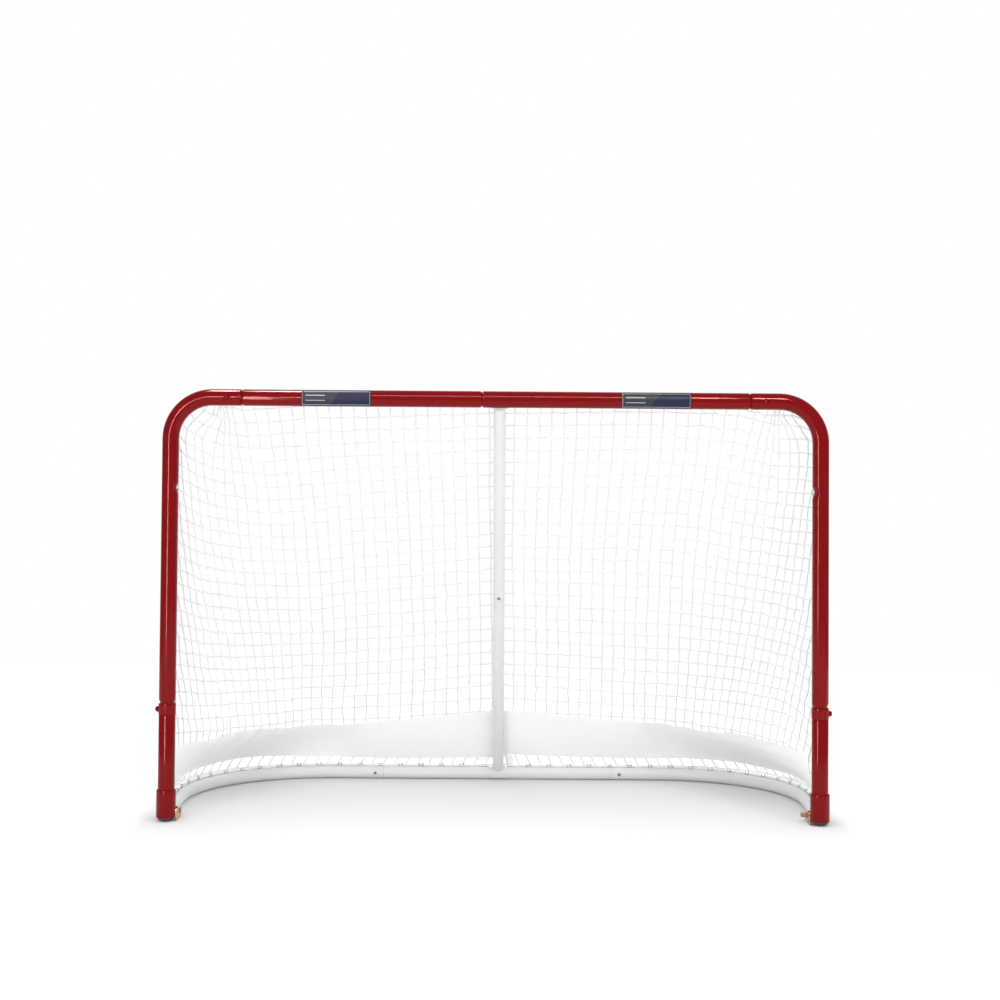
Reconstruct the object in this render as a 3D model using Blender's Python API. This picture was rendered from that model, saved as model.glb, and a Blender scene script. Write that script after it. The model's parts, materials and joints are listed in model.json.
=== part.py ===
# Hockey goal: a push-fit and bolted steel tube frame with a net and a cloth skirt.
# Lengths are in metres. X runs along the crossbar, the mouth faces -Y and +Z is up.
# The origin lies on the floor under the middle of the goal. Every piece hangs from one
# empty that stands under the crossbar, so the pieces are placed from the crossbar's axis.

import math
from collections import namedtuple

import bmesh
import bpy
from mathutils import Matrix, Vector

# Mouth and base, measured between the tubes' axes except for the inner width
INNER_WIDTH = 1.829
BAR_HEIGHT = 1.2153
BASE_DEPTH = 0.7025
BASE_SIDE_OFFSET = 0.006
BASE_BEND_R = 0.4256
CORNER_BEND_R = 0.120

# Tubes
FRAME_TUBE_D = 0.048
FRAME_WALL = 0.0018
BASE_TUBE_D = 0.038
BASE_WALL = 0.0015
CENTRE_TUBE_D = 0.035
CENTRE_WALL = 0.0015
TUBE_SIDES = 16
CORNER_BEND_STEPS = 6
BASE_BEND_STEPS = 8

# Push-fit joints: where the outer tubes' mouths lie, and how the inner tubes are necked
CORNER_JOINT_X = 0.7355
BAR_JOINT_X = -0.0385
LEG_JOINT_Z = 0.335
REAR_JOINT_LEFT_X = -0.3620
REAR_JOINT_RIGHT_X = 0.3770
CENTRE_JOINT_DROP = 0.731
SPIGOT_LENGTH = 0.072
CROSSBAR_NECK_D = 0.038
NECK_SHOWING = 0.0035
NECK_TAPER = 0.015
PLAIN_TAPER = 0.003
FIT_GAP = 0.0003

# Snap buttons and their spring clips
BUTTON_BASE_R = 0.0072
BUTTON_TIP_R = 0.0040
BUTTON_PROUD = 0.0075
BUTTON_HOLE_GAP = 0.0006
BUTTON_FLANGE_R = 0.0095
BUTTON_FLANGE_T = 0.0012
CORNER_BUTTON_INSET = 0.0405
LEG_BUTTON_INSET = 0.016
REAR_BUTTON_INSET = 0.0255
CENTRE_BUTTON_INSET = 0.043
CLIP_WIDTH = 0.009
CLIP_THICKNESS = 0.001
CLIP_ARM = 0.034
CLIP_GAP = 0.0005
CLIP_TAIL = 0.008

# Leg collar, foot sleeve and rubber foot plug
COLLAR_LENGTH = 0.031
COLLAR_WALL = 0.0009
SLEEVE_D = 0.056
SLEEVE_BOTTOM = 0.0115
SLEEVE_TOP = 0.092
PLUG_D = 0.0448
PLUG_CHAMFER = 0.0016
PLUG_REACH = 0.040

# Pressed dent and rivet on the inner side of each post
DENT_Z = 0.953
DENT_HALF_LENGTH = 0.020
DENT_DEPTH = 0.0065
DENT_SPREAD = 0.3
RIVET_DROP = 0.004
RIVET_SHANK_R = 0.0020
RIVET_HEAD_R = 0.0042
RIVET_HEAD_T = 0.0020
RIVET_TAIL_R = 0.0034

# Base hinge at each foot
BRACKET_PLATE = 0.0025
BRACKET_BOTTOM = 0.0012
BRACKET_TOP = 0.036
BRACKET_BACK_TOP = 0.025
BRACKET_INNER_FRONT = -0.006
BRACKET_OUTER_FRONT = 0.012
BRACKET_BACK = 0.078
BRACKET_WEB_Y = 0.0288
BASE_TUBE_FRONT = 0.0345
HINGE_Y = 0.055
HINGE_BOLT_R = 0.004
HINGE_HOLE_R = 0.0044
HEX_FLATS = 0.013
HINGE_HEAD_T = 0.004
HINGE_THIN_NUT_T = 0.004
HINGE_NUT_T = 0.0065
HINGE_LOCK_NUT_T = 0.008
HINGE_THREAD_END = 0.001
SPACER_R = 0.0065

# Centre bar and its saddles
CENTRE_BAR_X = 0.010
SADDLE_WIDTH = 0.048
SADDLE_PLATE = 0.0022
SADDLE_STUB = 0.030
SADDLE_STEPS = 9
TOP_SADDLE_FROM = math.radians(-35)
TOP_SADDLE_TO = math.radians(95)
TOP_SCREW_ANGLE = math.radians(72)
FOOT_SADDLE_FROM = math.radians(-100)
FOOT_SADDLE_TO = math.radians(74)
FOOT_SCREW_ANGLE = math.radians(56)
SCREW_SPREAD = 0.028
SCREW_R = 0.0023
SCREW_HOLE_R = 0.0028
SCREW_HEAD_R = 0.0042
SCREW_HEAD_T = 0.0025
SCREW_REACH = 0.012

# Stickers on the crossbar
STICKER_NEAR_X = 0.361
STICKER_LENGTH = 0.200
STICKER_THICKNESS = 0.0003
STICKER_FACETS = 6

# Net: columns and rows of the coarse mesh, and where it hangs
BACK_COLUMNS = 12
SIDE_COLUMNS = 4
NET_ROWS = 8
NET_STRIP = 0.006
NET_THICKNESS = 0.0024
NET_BEHIND_BAR = 0.006
NET_START = 0.022
NET_END = 0.024
NET_POST_R = 0.031
NET_PANEL_GAP = 0.002
NET_FOOT_OUT = 0.008
NET_FOOT_BLEND = 0.30
BACK_HALF_WIDTH_FOOT = 0.50
BACK_HALF_WIDTH_TOP = 0.74
SIDE_LEAVE_ANGLE = math.radians(17)
SIDE_LEAVE_LENGTH = 0.25
SIDE_JOIN_LENGTH = 0.10
SIDE_JOIN_DROP = 0.03
SIDE_ROW_DROP = 0.055
TOP_CORNER_X = 0.870
TOP_CORNER_DROP = 0.030

# Skirt
SKIRT_THICKNESS = 0.0016
SKIRT_CLEAR = 0.003
SKIRT_BACK_BOTTOM = 0.078
SKIRT_BACK_TOP = 0.212
SKIRT_POST_BOTTOM = 0.145
SKIRT_POST_TOP = 0.240
SKIRT_ROWS = 3
SKIRT_SIDE_STEPS = 24
SKIRT_BACK_STEPS = 32
SKIRT_FOLD = 0.008
SKIRT_FOLD_PITCH = 0.085
SKIRT_FLAT_AT_BAR = 0.08
SKIRT_END = 0.06

# Lacing rope along the base
ROPE_D = 0.005
ROPE_LEAN = math.radians(20)
ROPE_FRONT = 0.046
ROPE_SADDLE_GAP = 0.004
ROPE_BEND_STEPS = 18

Tube = namedtuple("Tube", "outer bore wall spigot neck taper")
Station = namedtuple("Station", "centre direction outer inner")


def tube_of(diameter, wall, neck_diameter, taper):
    outer = diameter / 2
    spigot = outer - wall - FIT_GAP
    neck = min(neck_diameter / 2, spigot)
    return Tube(outer, outer - wall, wall, spigot, neck, taper)


FRAME = tube_of(FRAME_TUBE_D, FRAME_WALL, CROSSBAR_NECK_D, NECK_TAPER)
BASE = tube_of(BASE_TUBE_D, BASE_WALL, BASE_TUBE_D, PLAIN_TAPER)
CENTRE = tube_of(CENTRE_TUBE_D, CENTRE_WALL, CENTRE_TUBE_D, PLAIN_TAPER)

# Places worked out from the sizes above
POST_X = INNER_WIDTH / 2 + FRAME.outer
BASE_X = POST_X + BASE_SIDE_OFFSET
BASE_Z = BASE.outer
FRONT_REACH = FRAME.outer + BUTTON_PROUD
BACK_REACH = BASE_DEPTH + BASE.outer
CROSSBAR_Y = (FRONT_REACH - BACK_REACH) / 2
BUTTON_HOLE_R = BUTTON_BASE_R + BUTTON_HOLE_GAP

X_AXIS = Vector((1, 0, 0))
Y_AXIS = Vector((0, 1, 0))
Z_AXIS = Vector((0, 0, 1))
BAR_TOP = Vector((CENTRE_BAR_X, 0, BAR_HEIGHT))
BAR_FOOT = Vector((CENTRE_BAR_X, BASE_DEPTH, BASE_Z))
BAR_DIRECTION = (BAR_FOOT - BAR_TOP).normalized()
BAR_BACK = X_AXIS.cross(BAR_DIRECTION).normalized()
BAR_LENGTH = (BAR_FOOT - BAR_TOP).length

FINISHES = {
    "red_paint": ((0.33, 0.018, 0.022), 0.32, 0.0),
    "white_paint": ((0.80, 0.82, 0.81), 0.30, 0.0),
    "zinc": ((0.58, 0.42, 0.20), 0.35, 1.0),
    "spring_steel": ((0.32, 0.32, 0.33), 0.35, 1.0),
    "rubber": ((0.035, 0.042, 0.045), 0.75, 0.0),
    "net_cord": ((0.80, 0.81, 0.80), 0.85, 0.0),
    "cloth": ((0.78, 0.78, 0.77), 0.90, 0.0),
    "sticker": ((0.035, 0.040, 0.075), 0.35, 0.0),
}

# The scene and its objects


def clear_scene():
    for old in list(bpy.data.objects):
        bpy.data.objects.remove(old, do_unlink=True)


def add_root():
    root = bpy.data.objects.new("crossbar_line", None)
    root.location = (0, CROSSBAR_Y, 0)
    bpy.context.scene.collection.objects.link(root)
    return root


def add_finish(thing, finish):
    colour, roughness, metallic = FINISHES[finish]
    material = bpy.data.materials.new(thing.name)
    material.use_nodes = True
    shader = material.node_tree.nodes["Principled BSDF"]
    shader.inputs["Base Color"].default_value = (*colour, 1.0)
    shader.inputs["Roughness"].default_value = roughness
    shader.inputs["Metallic"].default_value = metallic
    thing.data.materials.append(material)


def add_piece(name, bm, place, finish, root, smooth=True):
    """Makes one sub-part from a bmesh that is drawn about the place's origin."""
    bmesh.ops.recalc_face_normals(bm, faces=bm.faces)
    mesh = bpy.data.meshes.new(name)
    bm.to_mesh(mesh)
    bm.free()
    if smooth:
        mesh.shade_smooth()
        mesh.set_sharp_from_angle(angle=math.radians(35))
    thing = bpy.data.objects.new(name, mesh)
    thing.parent = root
    thing.matrix_local = place
    bpy.context.scene.collection.objects.link(thing)
    add_finish(thing, finish)
    return thing


def add_tool(name, bm, place, root):
    """Makes a cutter, or a shape that is joined to a sub-part."""
    tool = add_piece(name, bm, place, "zinc", root, smooth=False)
    tool.hide_render = True
    tool.display_type = "WIRE"
    return tool


def combine(thing, tool, operation):
    boolean = thing.modifiers.new(tool.name, "BOOLEAN")
    boolean.operation = operation
    boolean.solver = "EXACT"
    boolean.object = tool


def frame_at(origin, across, outward):
    """A place whose local X is across and whose local Z is outward."""
    side = outward.cross(across)
    place = Matrix((across, side, outward)).transposed().to_4x4()
    place.translation = origin
    return place


# Shapes


def link_rings(bm, first, second):
    count = len(first)
    for index in range(count):
        following = (index + 1) % count
        bm.faces.new((first[index], first[following], second[following], second[index]))


def ring(bm, centre, direction, normal, radius):
    across = direction.cross(normal).normalized()
    verts = []
    for step in range(TUBE_SIDES):
        angle = 2 * math.pi * step / TUBE_SIDES
        offset = normal * (radius * math.cos(angle)) + across * (radius * math.sin(angle))
        verts.append(bm.verts.new(centre + offset))
    return verts


def add_tube(name, stations, normal, finish, root, dent=None):
    """A hollow tube through the stations, with open ends."""
    origin = stations[0].centre
    bm = bmesh.new()
    outer_rings = []
    inner_rings = []
    for station in stations:
        centre = station.centre - origin
        outer_rings.append(ring(bm, centre, station.direction, normal, station.outer))
        inner_rings.append(ring(bm, centre, station.direction, normal, station.inner))
    for rings in (outer_rings, inner_rings):
        for first, second in zip(rings, rings[1:]):
            link_rings(bm, first, second)
    link_rings(bm, outer_rings[0], inner_rings[0])
    link_rings(bm, outer_rings[-1], inner_rings[-1])
    if dent:
        dent(bm, origin)
    return add_piece(name, bm, Matrix.Translation(origin), finish, root)


def turned(profile, sides, hexagonal=()):
    """A solid of revolution about local Z. Rows named in hexagonal have six flats."""
    bm = bmesh.new()
    rings = []
    for row, (radius, height) in enumerate(profile):
        if radius == 0:
            rings.append([bm.verts.new((0, 0, height))])
            continue
        verts = []
        for step in range(sides):
            angle = 2 * math.pi * step / sides
            reach = radius
            if row in hexagonal and step % 2 == 0:
                reach = radius / math.cos(math.pi / 6)
            verts.append(bm.verts.new((reach * math.cos(angle), reach * math.sin(angle), height)))
        rings.append(verts)
    closed = len(rings[0]) > 1
    pairs = list(zip(rings, rings[1:]))
    if closed:
        pairs.append((rings[-1], rings[0]))
    for first, second in pairs:
        if len(first) == 1 or len(second) == 1:
            tip = first[0] if len(first) == 1 else second[0]
            rim = second if len(first) == 1 else first
            for index in range(sides):
                bm.faces.new((tip, rim[index], rim[(index + 1) % sides]))
        else:
            link_rings(bm, first, second)
    return bm


def extruded(outline, direction, length):
    """A prism: the outline's corners, pushed along the direction."""
    bm = bmesh.new()
    face = bm.faces.new([bm.verts.new(corner) for corner in outline])
    pushed = bmesh.ops.extrude_face_region(bm, geom=[face])
    moved = [item for item in pushed["geom"] if isinstance(item, bmesh.types.BMVert)]
    bmesh.ops.translate(bm, verts=moved, vec=direction * length)
    return bm


def cylinder(radius, bottom, top, sides=TUBE_SIDES):
    return turned([(0, bottom), (radius, bottom), (radius, top), (0, top)], sides)


def sheet(rows):
    """A bmesh grid through rows of points."""
    bm = bmesh.new()
    grid = [[bm.verts.new(point) for point in row] for row in rows]
    for upper, lower in zip(grid, grid[1:]):
        for index in range(len(upper) - 1):
            bm.faces.new((upper[index], upper[index + 1], lower[index + 1], lower[index]))
    bm.normal_update()
    return bm


def thicken(thing, thickness):
    solidify = thing.modifiers.new("thickness", "SOLIDIFY")
    solidify.thickness = thickness
    solidify.offset = 0.0
    solidify.use_even_offset = True


def arc(centre, start, end, radius, steps):
    """Points and directions on a quarter bend that starts along end and finishes along -start."""
    stops = []
    for step in range(steps + 1):
        angle = math.pi / 2 * step / steps
        point = centre + (start * math.cos(angle) + end * math.sin(angle)) * radius
        direction = end * math.cos(angle) - start * math.sin(angle)
        stops.append((point, direction))
    return stops


# Tube ends


def plain(tube, centre, direction):
    return Station(centre, direction, tube.outer, tube.bore)


def necked_end(tube, mouth, into):
    """Stations of an inner tube's end, from its full size to the spigot's tip.

    The mouth is the outer tube's end, and into points from there down its bore.
    """
    steps = (
        (-NECK_SHOWING - tube.taper, tube.outer, tube.bore),
        (-NECK_SHOWING, tube.neck, tube.neck - tube.wall),
        (NECK_SHOWING / 2, tube.neck, tube.neck - tube.wall),
        (NECK_SHOWING * 1.5, tube.spigot, tube.spigot - tube.wall),
        (SPIGOT_LENGTH, tube.spigot, tube.spigot - tube.wall),
    )
    return [Station(mouth + into * reach, into, outer, inner) for reach, outer, inner in steps]


def turned_round(stations):
    """The same stations in the other order, for a tube that starts at its spigot."""
    return [Station(s.centre, -s.direction, s.outer, s.inner) for s in reversed(stations)]


# Crossbar, posts and legs


def add_crossbar(root):
    axis = Vector((0, 0, BAR_HEIGHT))
    left_mouth = axis - X_AXIS * CORNER_JOINT_X
    right_mouth = axis + X_AXIS * CORNER_JOINT_X
    middle_mouth = axis + X_AXIS * BAR_JOINT_X
    left = turned_round(necked_end(FRAME, left_mouth, -X_AXIS))
    left += necked_end(FRAME, middle_mouth, X_AXIS)
    right = [plain(FRAME, middle_mouth, X_AXIS)]
    right += necked_end(FRAME, right_mouth, X_AXIS)
    return {
        "crossbar_left": add_tube("crossbar_left", left, Z_AXIS, "red_paint", root),
        "crossbar_right": add_tube("crossbar_right", right, Z_AXIS, "red_paint", root),
    }


def dent_depth_at(height):
    """How far the dent's middle line is pressed in at a height."""
    reach = (height - DENT_Z) / DENT_HALF_LENGTH
    if abs(reach) >= 1:
        return 0.0
    return DENT_DEPTH * math.cos(math.pi / 2 * reach) ** 2


def press_dent(side):
    def dent(bm, origin):
        for vert in bm.verts:
            point = vert.co + origin
            depth = dent_depth_at(point.z)
            offset = Vector((point.x - side * POST_X, point.y, 0))
            if depth == 0 or offset.length == 0:
                continue
            facing = -side * offset.x / offset.length
            share = (facing - DENT_SPREAD) / (1 - DENT_SPREAD)
            if share > 0:
                vert.co -= offset.normalized() * depth * min(share * 1.3, 1.0)

    return dent


def add_corner_post(name, side, root):
    outward = X_AXIS * side
    mouth = Vector((side * CORNER_JOINT_X, 0, BAR_HEIGHT))
    bend_centre = Vector((side * (POST_X - CORNER_BEND_R), 0, BAR_HEIGHT - CORNER_BEND_R))
    stations = [plain(FRAME, mouth, outward)]
    for point, direction in arc(bend_centre, Z_AXIS, outward, CORNER_BEND_R, CORNER_BEND_STEPS):
        stations.append(plain(FRAME, point, direction))
    for share in (1.0, 0.5, 0.0, -0.5, -1.0):
        height = DENT_Z + DENT_HALF_LENGTH * share
        stations.append(plain(FRAME, Vector((side * POST_X, 0, height)), -Z_AXIS))
    leg_mouth = Vector((side * POST_X, 0, LEG_JOINT_Z))
    stations += necked_end(FRAME, leg_mouth, -Z_AXIS)
    return add_tube(name, stations, Y_AXIS, "red_paint", root, press_dent(side))


def add_post_rivet(name, side, post, root):
    height = DENT_Z - RIVET_DROP
    place = frame_at(Vector((side * POST_X, 0, height)), Z_AXIS, -X_AXIS * side)
    upper_edge = FRAME.outer - dent_depth_at(height - RIVET_HEAD_R)
    head_seat = upper_edge + FIT_GAP * 2
    tail_seat = FRAME.outer - DENT_DEPTH - FRAME.wall - FIT_GAP * 2
    profile = (
        (0, tail_seat - RIVET_HEAD_T / 2),
        (RIVET_TAIL_R, tail_seat - RIVET_HEAD_T / 2),
        (RIVET_TAIL_R, tail_seat),
        (RIVET_SHANK_R, tail_seat),
        (RIVET_SHANK_R, head_seat),
        (RIVET_HEAD_R, head_seat),
        (RIVET_HEAD_R * 0.6, head_seat + RIVET_HEAD_T * 0.8),
        (0, head_seat + RIVET_HEAD_T),
    )
    add_piece(name, turned(profile, 8), place, "spring_steel", root)
    hole = cylinder(RIVET_SHANK_R + FIT_GAP, tail_seat - RIVET_HEAD_T, FRAME.outer, 8)
    combine(post, add_tool(name + "_hole", hole, place, root), "DIFFERENCE")


def add_leg(name, side, root):
    bottom = Vector((side * POST_X, 0, SLEEVE_BOTTOM + FIT_GAP))
    top = Vector((side * POST_X, 0, LEG_JOINT_Z))
    stations = [plain(FRAME, bottom, Z_AXIS), plain(FRAME, top, Z_AXIS)]
    return add_tube(name, stations, Y_AXIS, "red_paint", root)


def add_ring_sleeve(name, side, bottom, top, outer, root):
    inner = FRAME.outer + FIT_GAP
    stations = [
        Station(Vector((side * POST_X, 0, bottom)), Z_AXIS, outer, inner),
        Station(Vector((side * POST_X, 0, top)), Z_AXIS, outer, inner),
    ]
    return add_tube(name, stations, Y_AXIS, "red_paint", root)


def add_foot_plug(name, side, root):
    flange_top = SLEEVE_BOTTOM - FIT_GAP
    neck = FRAME.bore - FIT_GAP
    flange = PLUG_D / 2
    profile = (
        (0, 0),
        (flange - PLUG_CHAMFER, 0),
        (flange, PLUG_CHAMFER),
        (flange, flange_top),
        (neck - FIT_GAP, flange_top),
        (neck - FIT_GAP, PLUG_REACH),
        (0, PLUG_REACH),
    )
    place = Matrix.Translation(Vector((side * POST_X, 0, 0)))
    add_piece(name, turned(profile, TUBE_SIDES), place, "rubber", root)


# Base hinges


def add_foot_bracket(name, side, root):
    """An H in plan: two cheeks that hold the sleeve and the base tube, and a web between them."""
    face = SLEEVE_D / 2 + FIT_GAP
    edge = face + BRACKET_PLATE
    web_back = BRACKET_WEB_Y + BRACKET_PLATE
    outline = (
        (-edge, BRACKET_INNER_FRONT),
        (-face, BRACKET_INNER_FRONT),
        (-face, BRACKET_WEB_Y),
        (face, BRACKET_WEB_Y),
        (face, BRACKET_OUTER_FRONT),
        (edge, BRACKET_OUTER_FRONT),
        (edge, BRACKET_BACK),
        (face, BRACKET_BACK),
        (face, web_back),
        (-face, web_back),
        (-face, BRACKET_BACK),
        (-edge, BRACKET_BACK),
    )
    corners = [Vector((side * across, along, BRACKET_BOTTOM)) for across, along in outline]
    bm = extruded(corners, Z_AXIS, BRACKET_TOP - BRACKET_BOTTOM)
    for vert in bm.verts:
        if vert.co.z > BRACKET_BOTTOM and vert.co.y == BRACKET_BACK:
            vert.co.z = BRACKET_BACK_TOP
    place = Matrix.Translation(Vector((side * POST_X, 0, 0)))
    return add_piece(name, bm, place, "zinc", root, smooth=False)


def hex_ring(bottom, top):
    """A nut: six flats outside and a round bore."""
    flats = HEX_FLATS / 2
    bore = HINGE_BOLT_R + FIT_GAP
    return turned([(flats, bottom), (flats, top), (bore, top), (bore, bottom)], 12, (0, 1))


def hex_bolt(head_bottom, head_top, end):
    flats = HEX_FLATS / 2
    profile = (
        (0, head_top),
        (flats, head_top),
        (flats, head_bottom),
        (HINGE_BOLT_R, head_bottom),
        (HINGE_BOLT_R, end),
        (0, end),
    )
    return turned(profile, 12, (1, 2))


def add_foot_hinge(prefix, side, bracket, base_tube, root):
    """Both bolts point to -X, so the left one has its head inside and the right one outside."""
    seat = SLEEVE_D / 2 + FIT_GAP + BRACKET_PLATE + FIT_GAP
    place = frame_at(Vector((side * POST_X, HINGE_Y, BASE_Z)), Z_AXIS, X_AXIS)
    if side < 0:
        nuts = {"_foot_nut": (-seat - HINGE_THIN_NUT_T, -seat)}
    else:
        lock_top = -seat - HINGE_NUT_T - FIT_GAP
        nuts = {
            "_foot_nut": (-seat - HINGE_NUT_T, -seat),
            "_foot_lock_nut": (lock_top - HINGE_LOCK_NUT_T, lock_top),
        }
    end = min(bottom for bottom, top in nuts.values()) - HINGE_THREAD_END
    bolt = hex_bolt(seat, seat + HINGE_HEAD_T, end)
    add_piece(prefix + "_foot_bolt", bolt, place, "zinc", root)
    for suffix, (bottom, top) in nuts.items():
        add_piece(prefix + suffix, hex_ring(bottom, top), place, "zinc", root)
    cheek = SLEEVE_D / 2
    tube_face = BASE.outer + FIT_GAP
    inner_ends = sorted((-side * cheek, side * (BASE_SIDE_OFFSET - tube_face)))
    bore = HINGE_BOLT_R + FIT_GAP
    low, high = inner_ends
    profile = [(SPACER_R, low), (SPACER_R, high), (bore, high), (bore, low)]
    add_piece(prefix + "_foot_spacer", turned(profile, 12), place, "zinc", root)
    hole = cylinder(HINGE_HOLE_R, -seat * 2, seat * 2, 12)
    tool = add_tool(prefix + "_foot_bolt_hole", hole, place, root)
    combine(bracket, tool, "DIFFERENCE")
    combine(base_tube, tool, "DIFFERENCE")


# White base


def add_base_side(name, side, joint_x, root):
    outward = X_AXIS * side
    front = Vector((side * BASE_X, BASE_TUBE_FRONT, BASE_Z))
    bend_x = side * (BASE_X - BASE_BEND_R)
    bend_centre = Vector((bend_x, BASE_DEPTH - BASE_BEND_R, BASE_Z))
    stations = [plain(BASE, front, Y_AXIS)]
    for point, direction in arc(bend_centre, outward, Y_AXIS, BASE_BEND_R, BASE_BEND_STEPS):
        stations.append(plain(BASE, point, direction))
    stations.append(plain(BASE, Vector((joint_x, BASE_DEPTH, BASE_Z)), -outward))
    return add_tube(name, stations, Z_AXIS, "white_paint", root)


def add_rear_bar(root):
    left_mouth = Vector((REAR_JOINT_LEFT_X, BASE_DEPTH, BASE_Z))
    right_mouth = Vector((REAR_JOINT_RIGHT_X, BASE_DEPTH, BASE_Z))
    stations = turned_round(necked_end(BASE, left_mouth, -X_AXIS))
    stations += necked_end(BASE, right_mouth, X_AXIS)
    return add_tube("base_rear_bar", stations, Z_AXIS, "white_paint", root)


# Centre bar and saddles


def facet_slack(steps, span):
    """A ring of flat facets must be this much larger to clear the circle inside it."""
    return 1 / math.cos(span / steps / 2)


def saddle_inner(tube, span):
    return (tube.outer + FIT_GAP) * facet_slack(SADDLE_STEPS, span)


def add_centre_bar(root, top_start, foot_end):
    seam = BAR_TOP + BAR_DIRECTION * CENTRE_JOINT_DROP
    top = BAR_TOP + BAR_DIRECTION * top_start
    foot = BAR_FOOT - BAR_DIRECTION * foot_end
    upper = [plain(CENTRE, top, BAR_DIRECTION), plain(CENTRE, seam, BAR_DIRECTION)]
    lower = turned_round(necked_end(CENTRE, seam, -BAR_DIRECTION))
    lower.append(plain(CENTRE, foot, BAR_DIRECTION))
    return {
        "centre_bar_upper": add_tube("centre_bar_upper", upper, X_AXIS, "white_paint", root),
        "centre_bar_lower": add_tube("centre_bar_lower", lower, X_AXIS, "white_paint", root),
    }


def add_saddle(name, tube, centre, toward, start, end, screw_angle, held, root):
    """A curved plate on a tube with a stub for the centre bar, and its two screws.

    Angles are measured about the tube's axis from toward, positive to the back.
    """
    inner = saddle_inner(tube, end - start)
    outer = inner + SADDLE_PLATE
    back = BAR_BACK
    outline = []
    for radius, order in ((outer, range(SADDLE_STEPS + 1)), (inner, range(SADDLE_STEPS, -1, -1))):
        for step in order:
            angle = start + (end - start) * step / SADDLE_STEPS
            point = (toward * math.cos(angle) + back * math.sin(angle)) * radius
            outline.append(point - X_AXIS * SADDLE_WIDTH / 2)
    place = Matrix.Translation(centre)
    saddle = add_piece(name, extruded(outline, X_AXIS, SADDLE_WIDTH), place, "white_paint", root)
    stub = cylinder(CENTRE.bore - FIT_GAP, inner + SADDLE_PLATE / 2, outer + SADDLE_STUB)
    stub_place = frame_at(centre, X_AXIS, toward)
    combine(saddle, add_tool(name + "_stub", stub, stub_place, root), "UNION")
    outward = toward * math.cos(screw_angle) + back * math.sin(screw_angle)
    seat = outer + FIT_GAP
    for index, shift in enumerate((-SCREW_SPREAD / 2, SCREW_SPREAD / 2)):
        screw_place = frame_at(centre + X_AXIS * shift, X_AXIS, outward)
        profile = (
            (0, tube.outer - SCREW_REACH),
            (SCREW_R, tube.outer - SCREW_REACH + SCREW_R),
            (SCREW_R, seat),
            (SCREW_HEAD_R, seat),
            (SCREW_HEAD_R * 0.7, seat + SCREW_HEAD_T),
            (0, seat + SCREW_HEAD_T),
        )
        screw_name = f"{name}_screw_{index + 1}"
        add_piece(screw_name, turned(profile, 8), screw_place, "zinc", root)
        hole = cylinder(SCREW_HOLE_R, tube.outer - SCREW_REACH, seat + SCREW_HEAD_T, 8)
        tool = add_tool(screw_name + "_hole", hole, screw_place, root)
        for thing in [saddle] + held:
            combine(thing, tool, "DIFFERENCE")


# Snap buttons


def add_snap_button(name, tube, mouth, into, inset, outward, held, root):
    """A button through both tubes at a push-fit joint, and the V clip that springs it.

    Local Z points outward through the hole and local X runs back along the inner tube.
    """
    origin = mouth + into * inset
    place = frame_at(origin, -into, outward)
    spigot_bore = tube.spigot - tube.wall
    neck_bore = tube.neck - tube.wall
    flange_top = math.sqrt(spigot_bore**2 - BUTTON_FLANGE_R**2) - FIT_GAP
    clip_reach = math.sqrt(neck_bore**2 - (CLIP_WIDTH / 2) ** 2) - FIT_GAP
    arm_top = min(clip_reach, flange_top - BUTTON_FLANGE_T)
    arm_bottom = arm_top - CLIP_THICKNESS
    tip = tube.outer + BUTTON_PROUD
    round_drop = BUTTON_PROUD * 0.3
    profile = (
        (0, arm_bottom - FIT_GAP),
        (BUTTON_BASE_R, arm_bottom - FIT_GAP),
        (BUTTON_BASE_R, flange_top - BUTTON_FLANGE_T),
        (BUTTON_FLANGE_R, flange_top - BUTTON_FLANGE_T),
        (BUTTON_FLANGE_R, flange_top),
        (BUTTON_BASE_R, flange_top),
        (BUTTON_BASE_R, tube.outer),
        (BUTTON_TIP_R, tip - round_drop),
        (BUTTON_TIP_R * 0.7, tip - round_drop * 0.3),
        (0, tip),
    )
    button = add_piece(name, turned(profile, 12), place, "spring_steel", root)
    arm_outline = [
        Vector((0, -CLIP_WIDTH / 2, arm_bottom)),
        Vector((0, CLIP_WIDTH / 2, arm_bottom)),
        Vector((0, CLIP_WIDTH / 2, arm_top)),
        Vector((0, -CLIP_WIDTH / 2, arm_top)),
    ]
    arm = add_tool(name + "_arm", extruded(arm_outline, X_AXIS, CLIP_ARM), place, root)
    combine(button, arm, "UNION")

    clip_out = clip_reach
    clip_in = clip_out - CLIP_THICKNESS
    bow_x = CLIP_ARM + CLIP_GAP
    outer_line = [Vector((-CLIP_TAIL, 0, -clip_out))]
    inner_line = [Vector((-CLIP_TAIL, 0, -clip_in))]
    for step in range(7):
        angle = math.pi * step / 6 - math.pi / 2
        turn = Vector((math.cos(angle), 0, math.sin(angle)))
        outer_line.append(Vector((bow_x, 0, 0)) + turn * clip_out)
        inner_line.append(Vector((bow_x, 0, 0)) + turn * clip_in)
    outline = [point - Y_AXIS * CLIP_WIDTH / 2 for point in outer_line + inner_line[::-1]]
    clip = extruded(outline, Y_AXIS, CLIP_WIDTH)
    add_piece(name.replace("_button", "_clip"), clip, place, "spring_steel", root)

    hole = cylinder(BUTTON_HOLE_R, tube.outer * 0.25, tube.outer * 1.5)
    tool = add_tool(name + "_hole", hole, place, root)
    for thing in held:
        combine(thing, tool, "DIFFERENCE")


# Stickers


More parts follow.
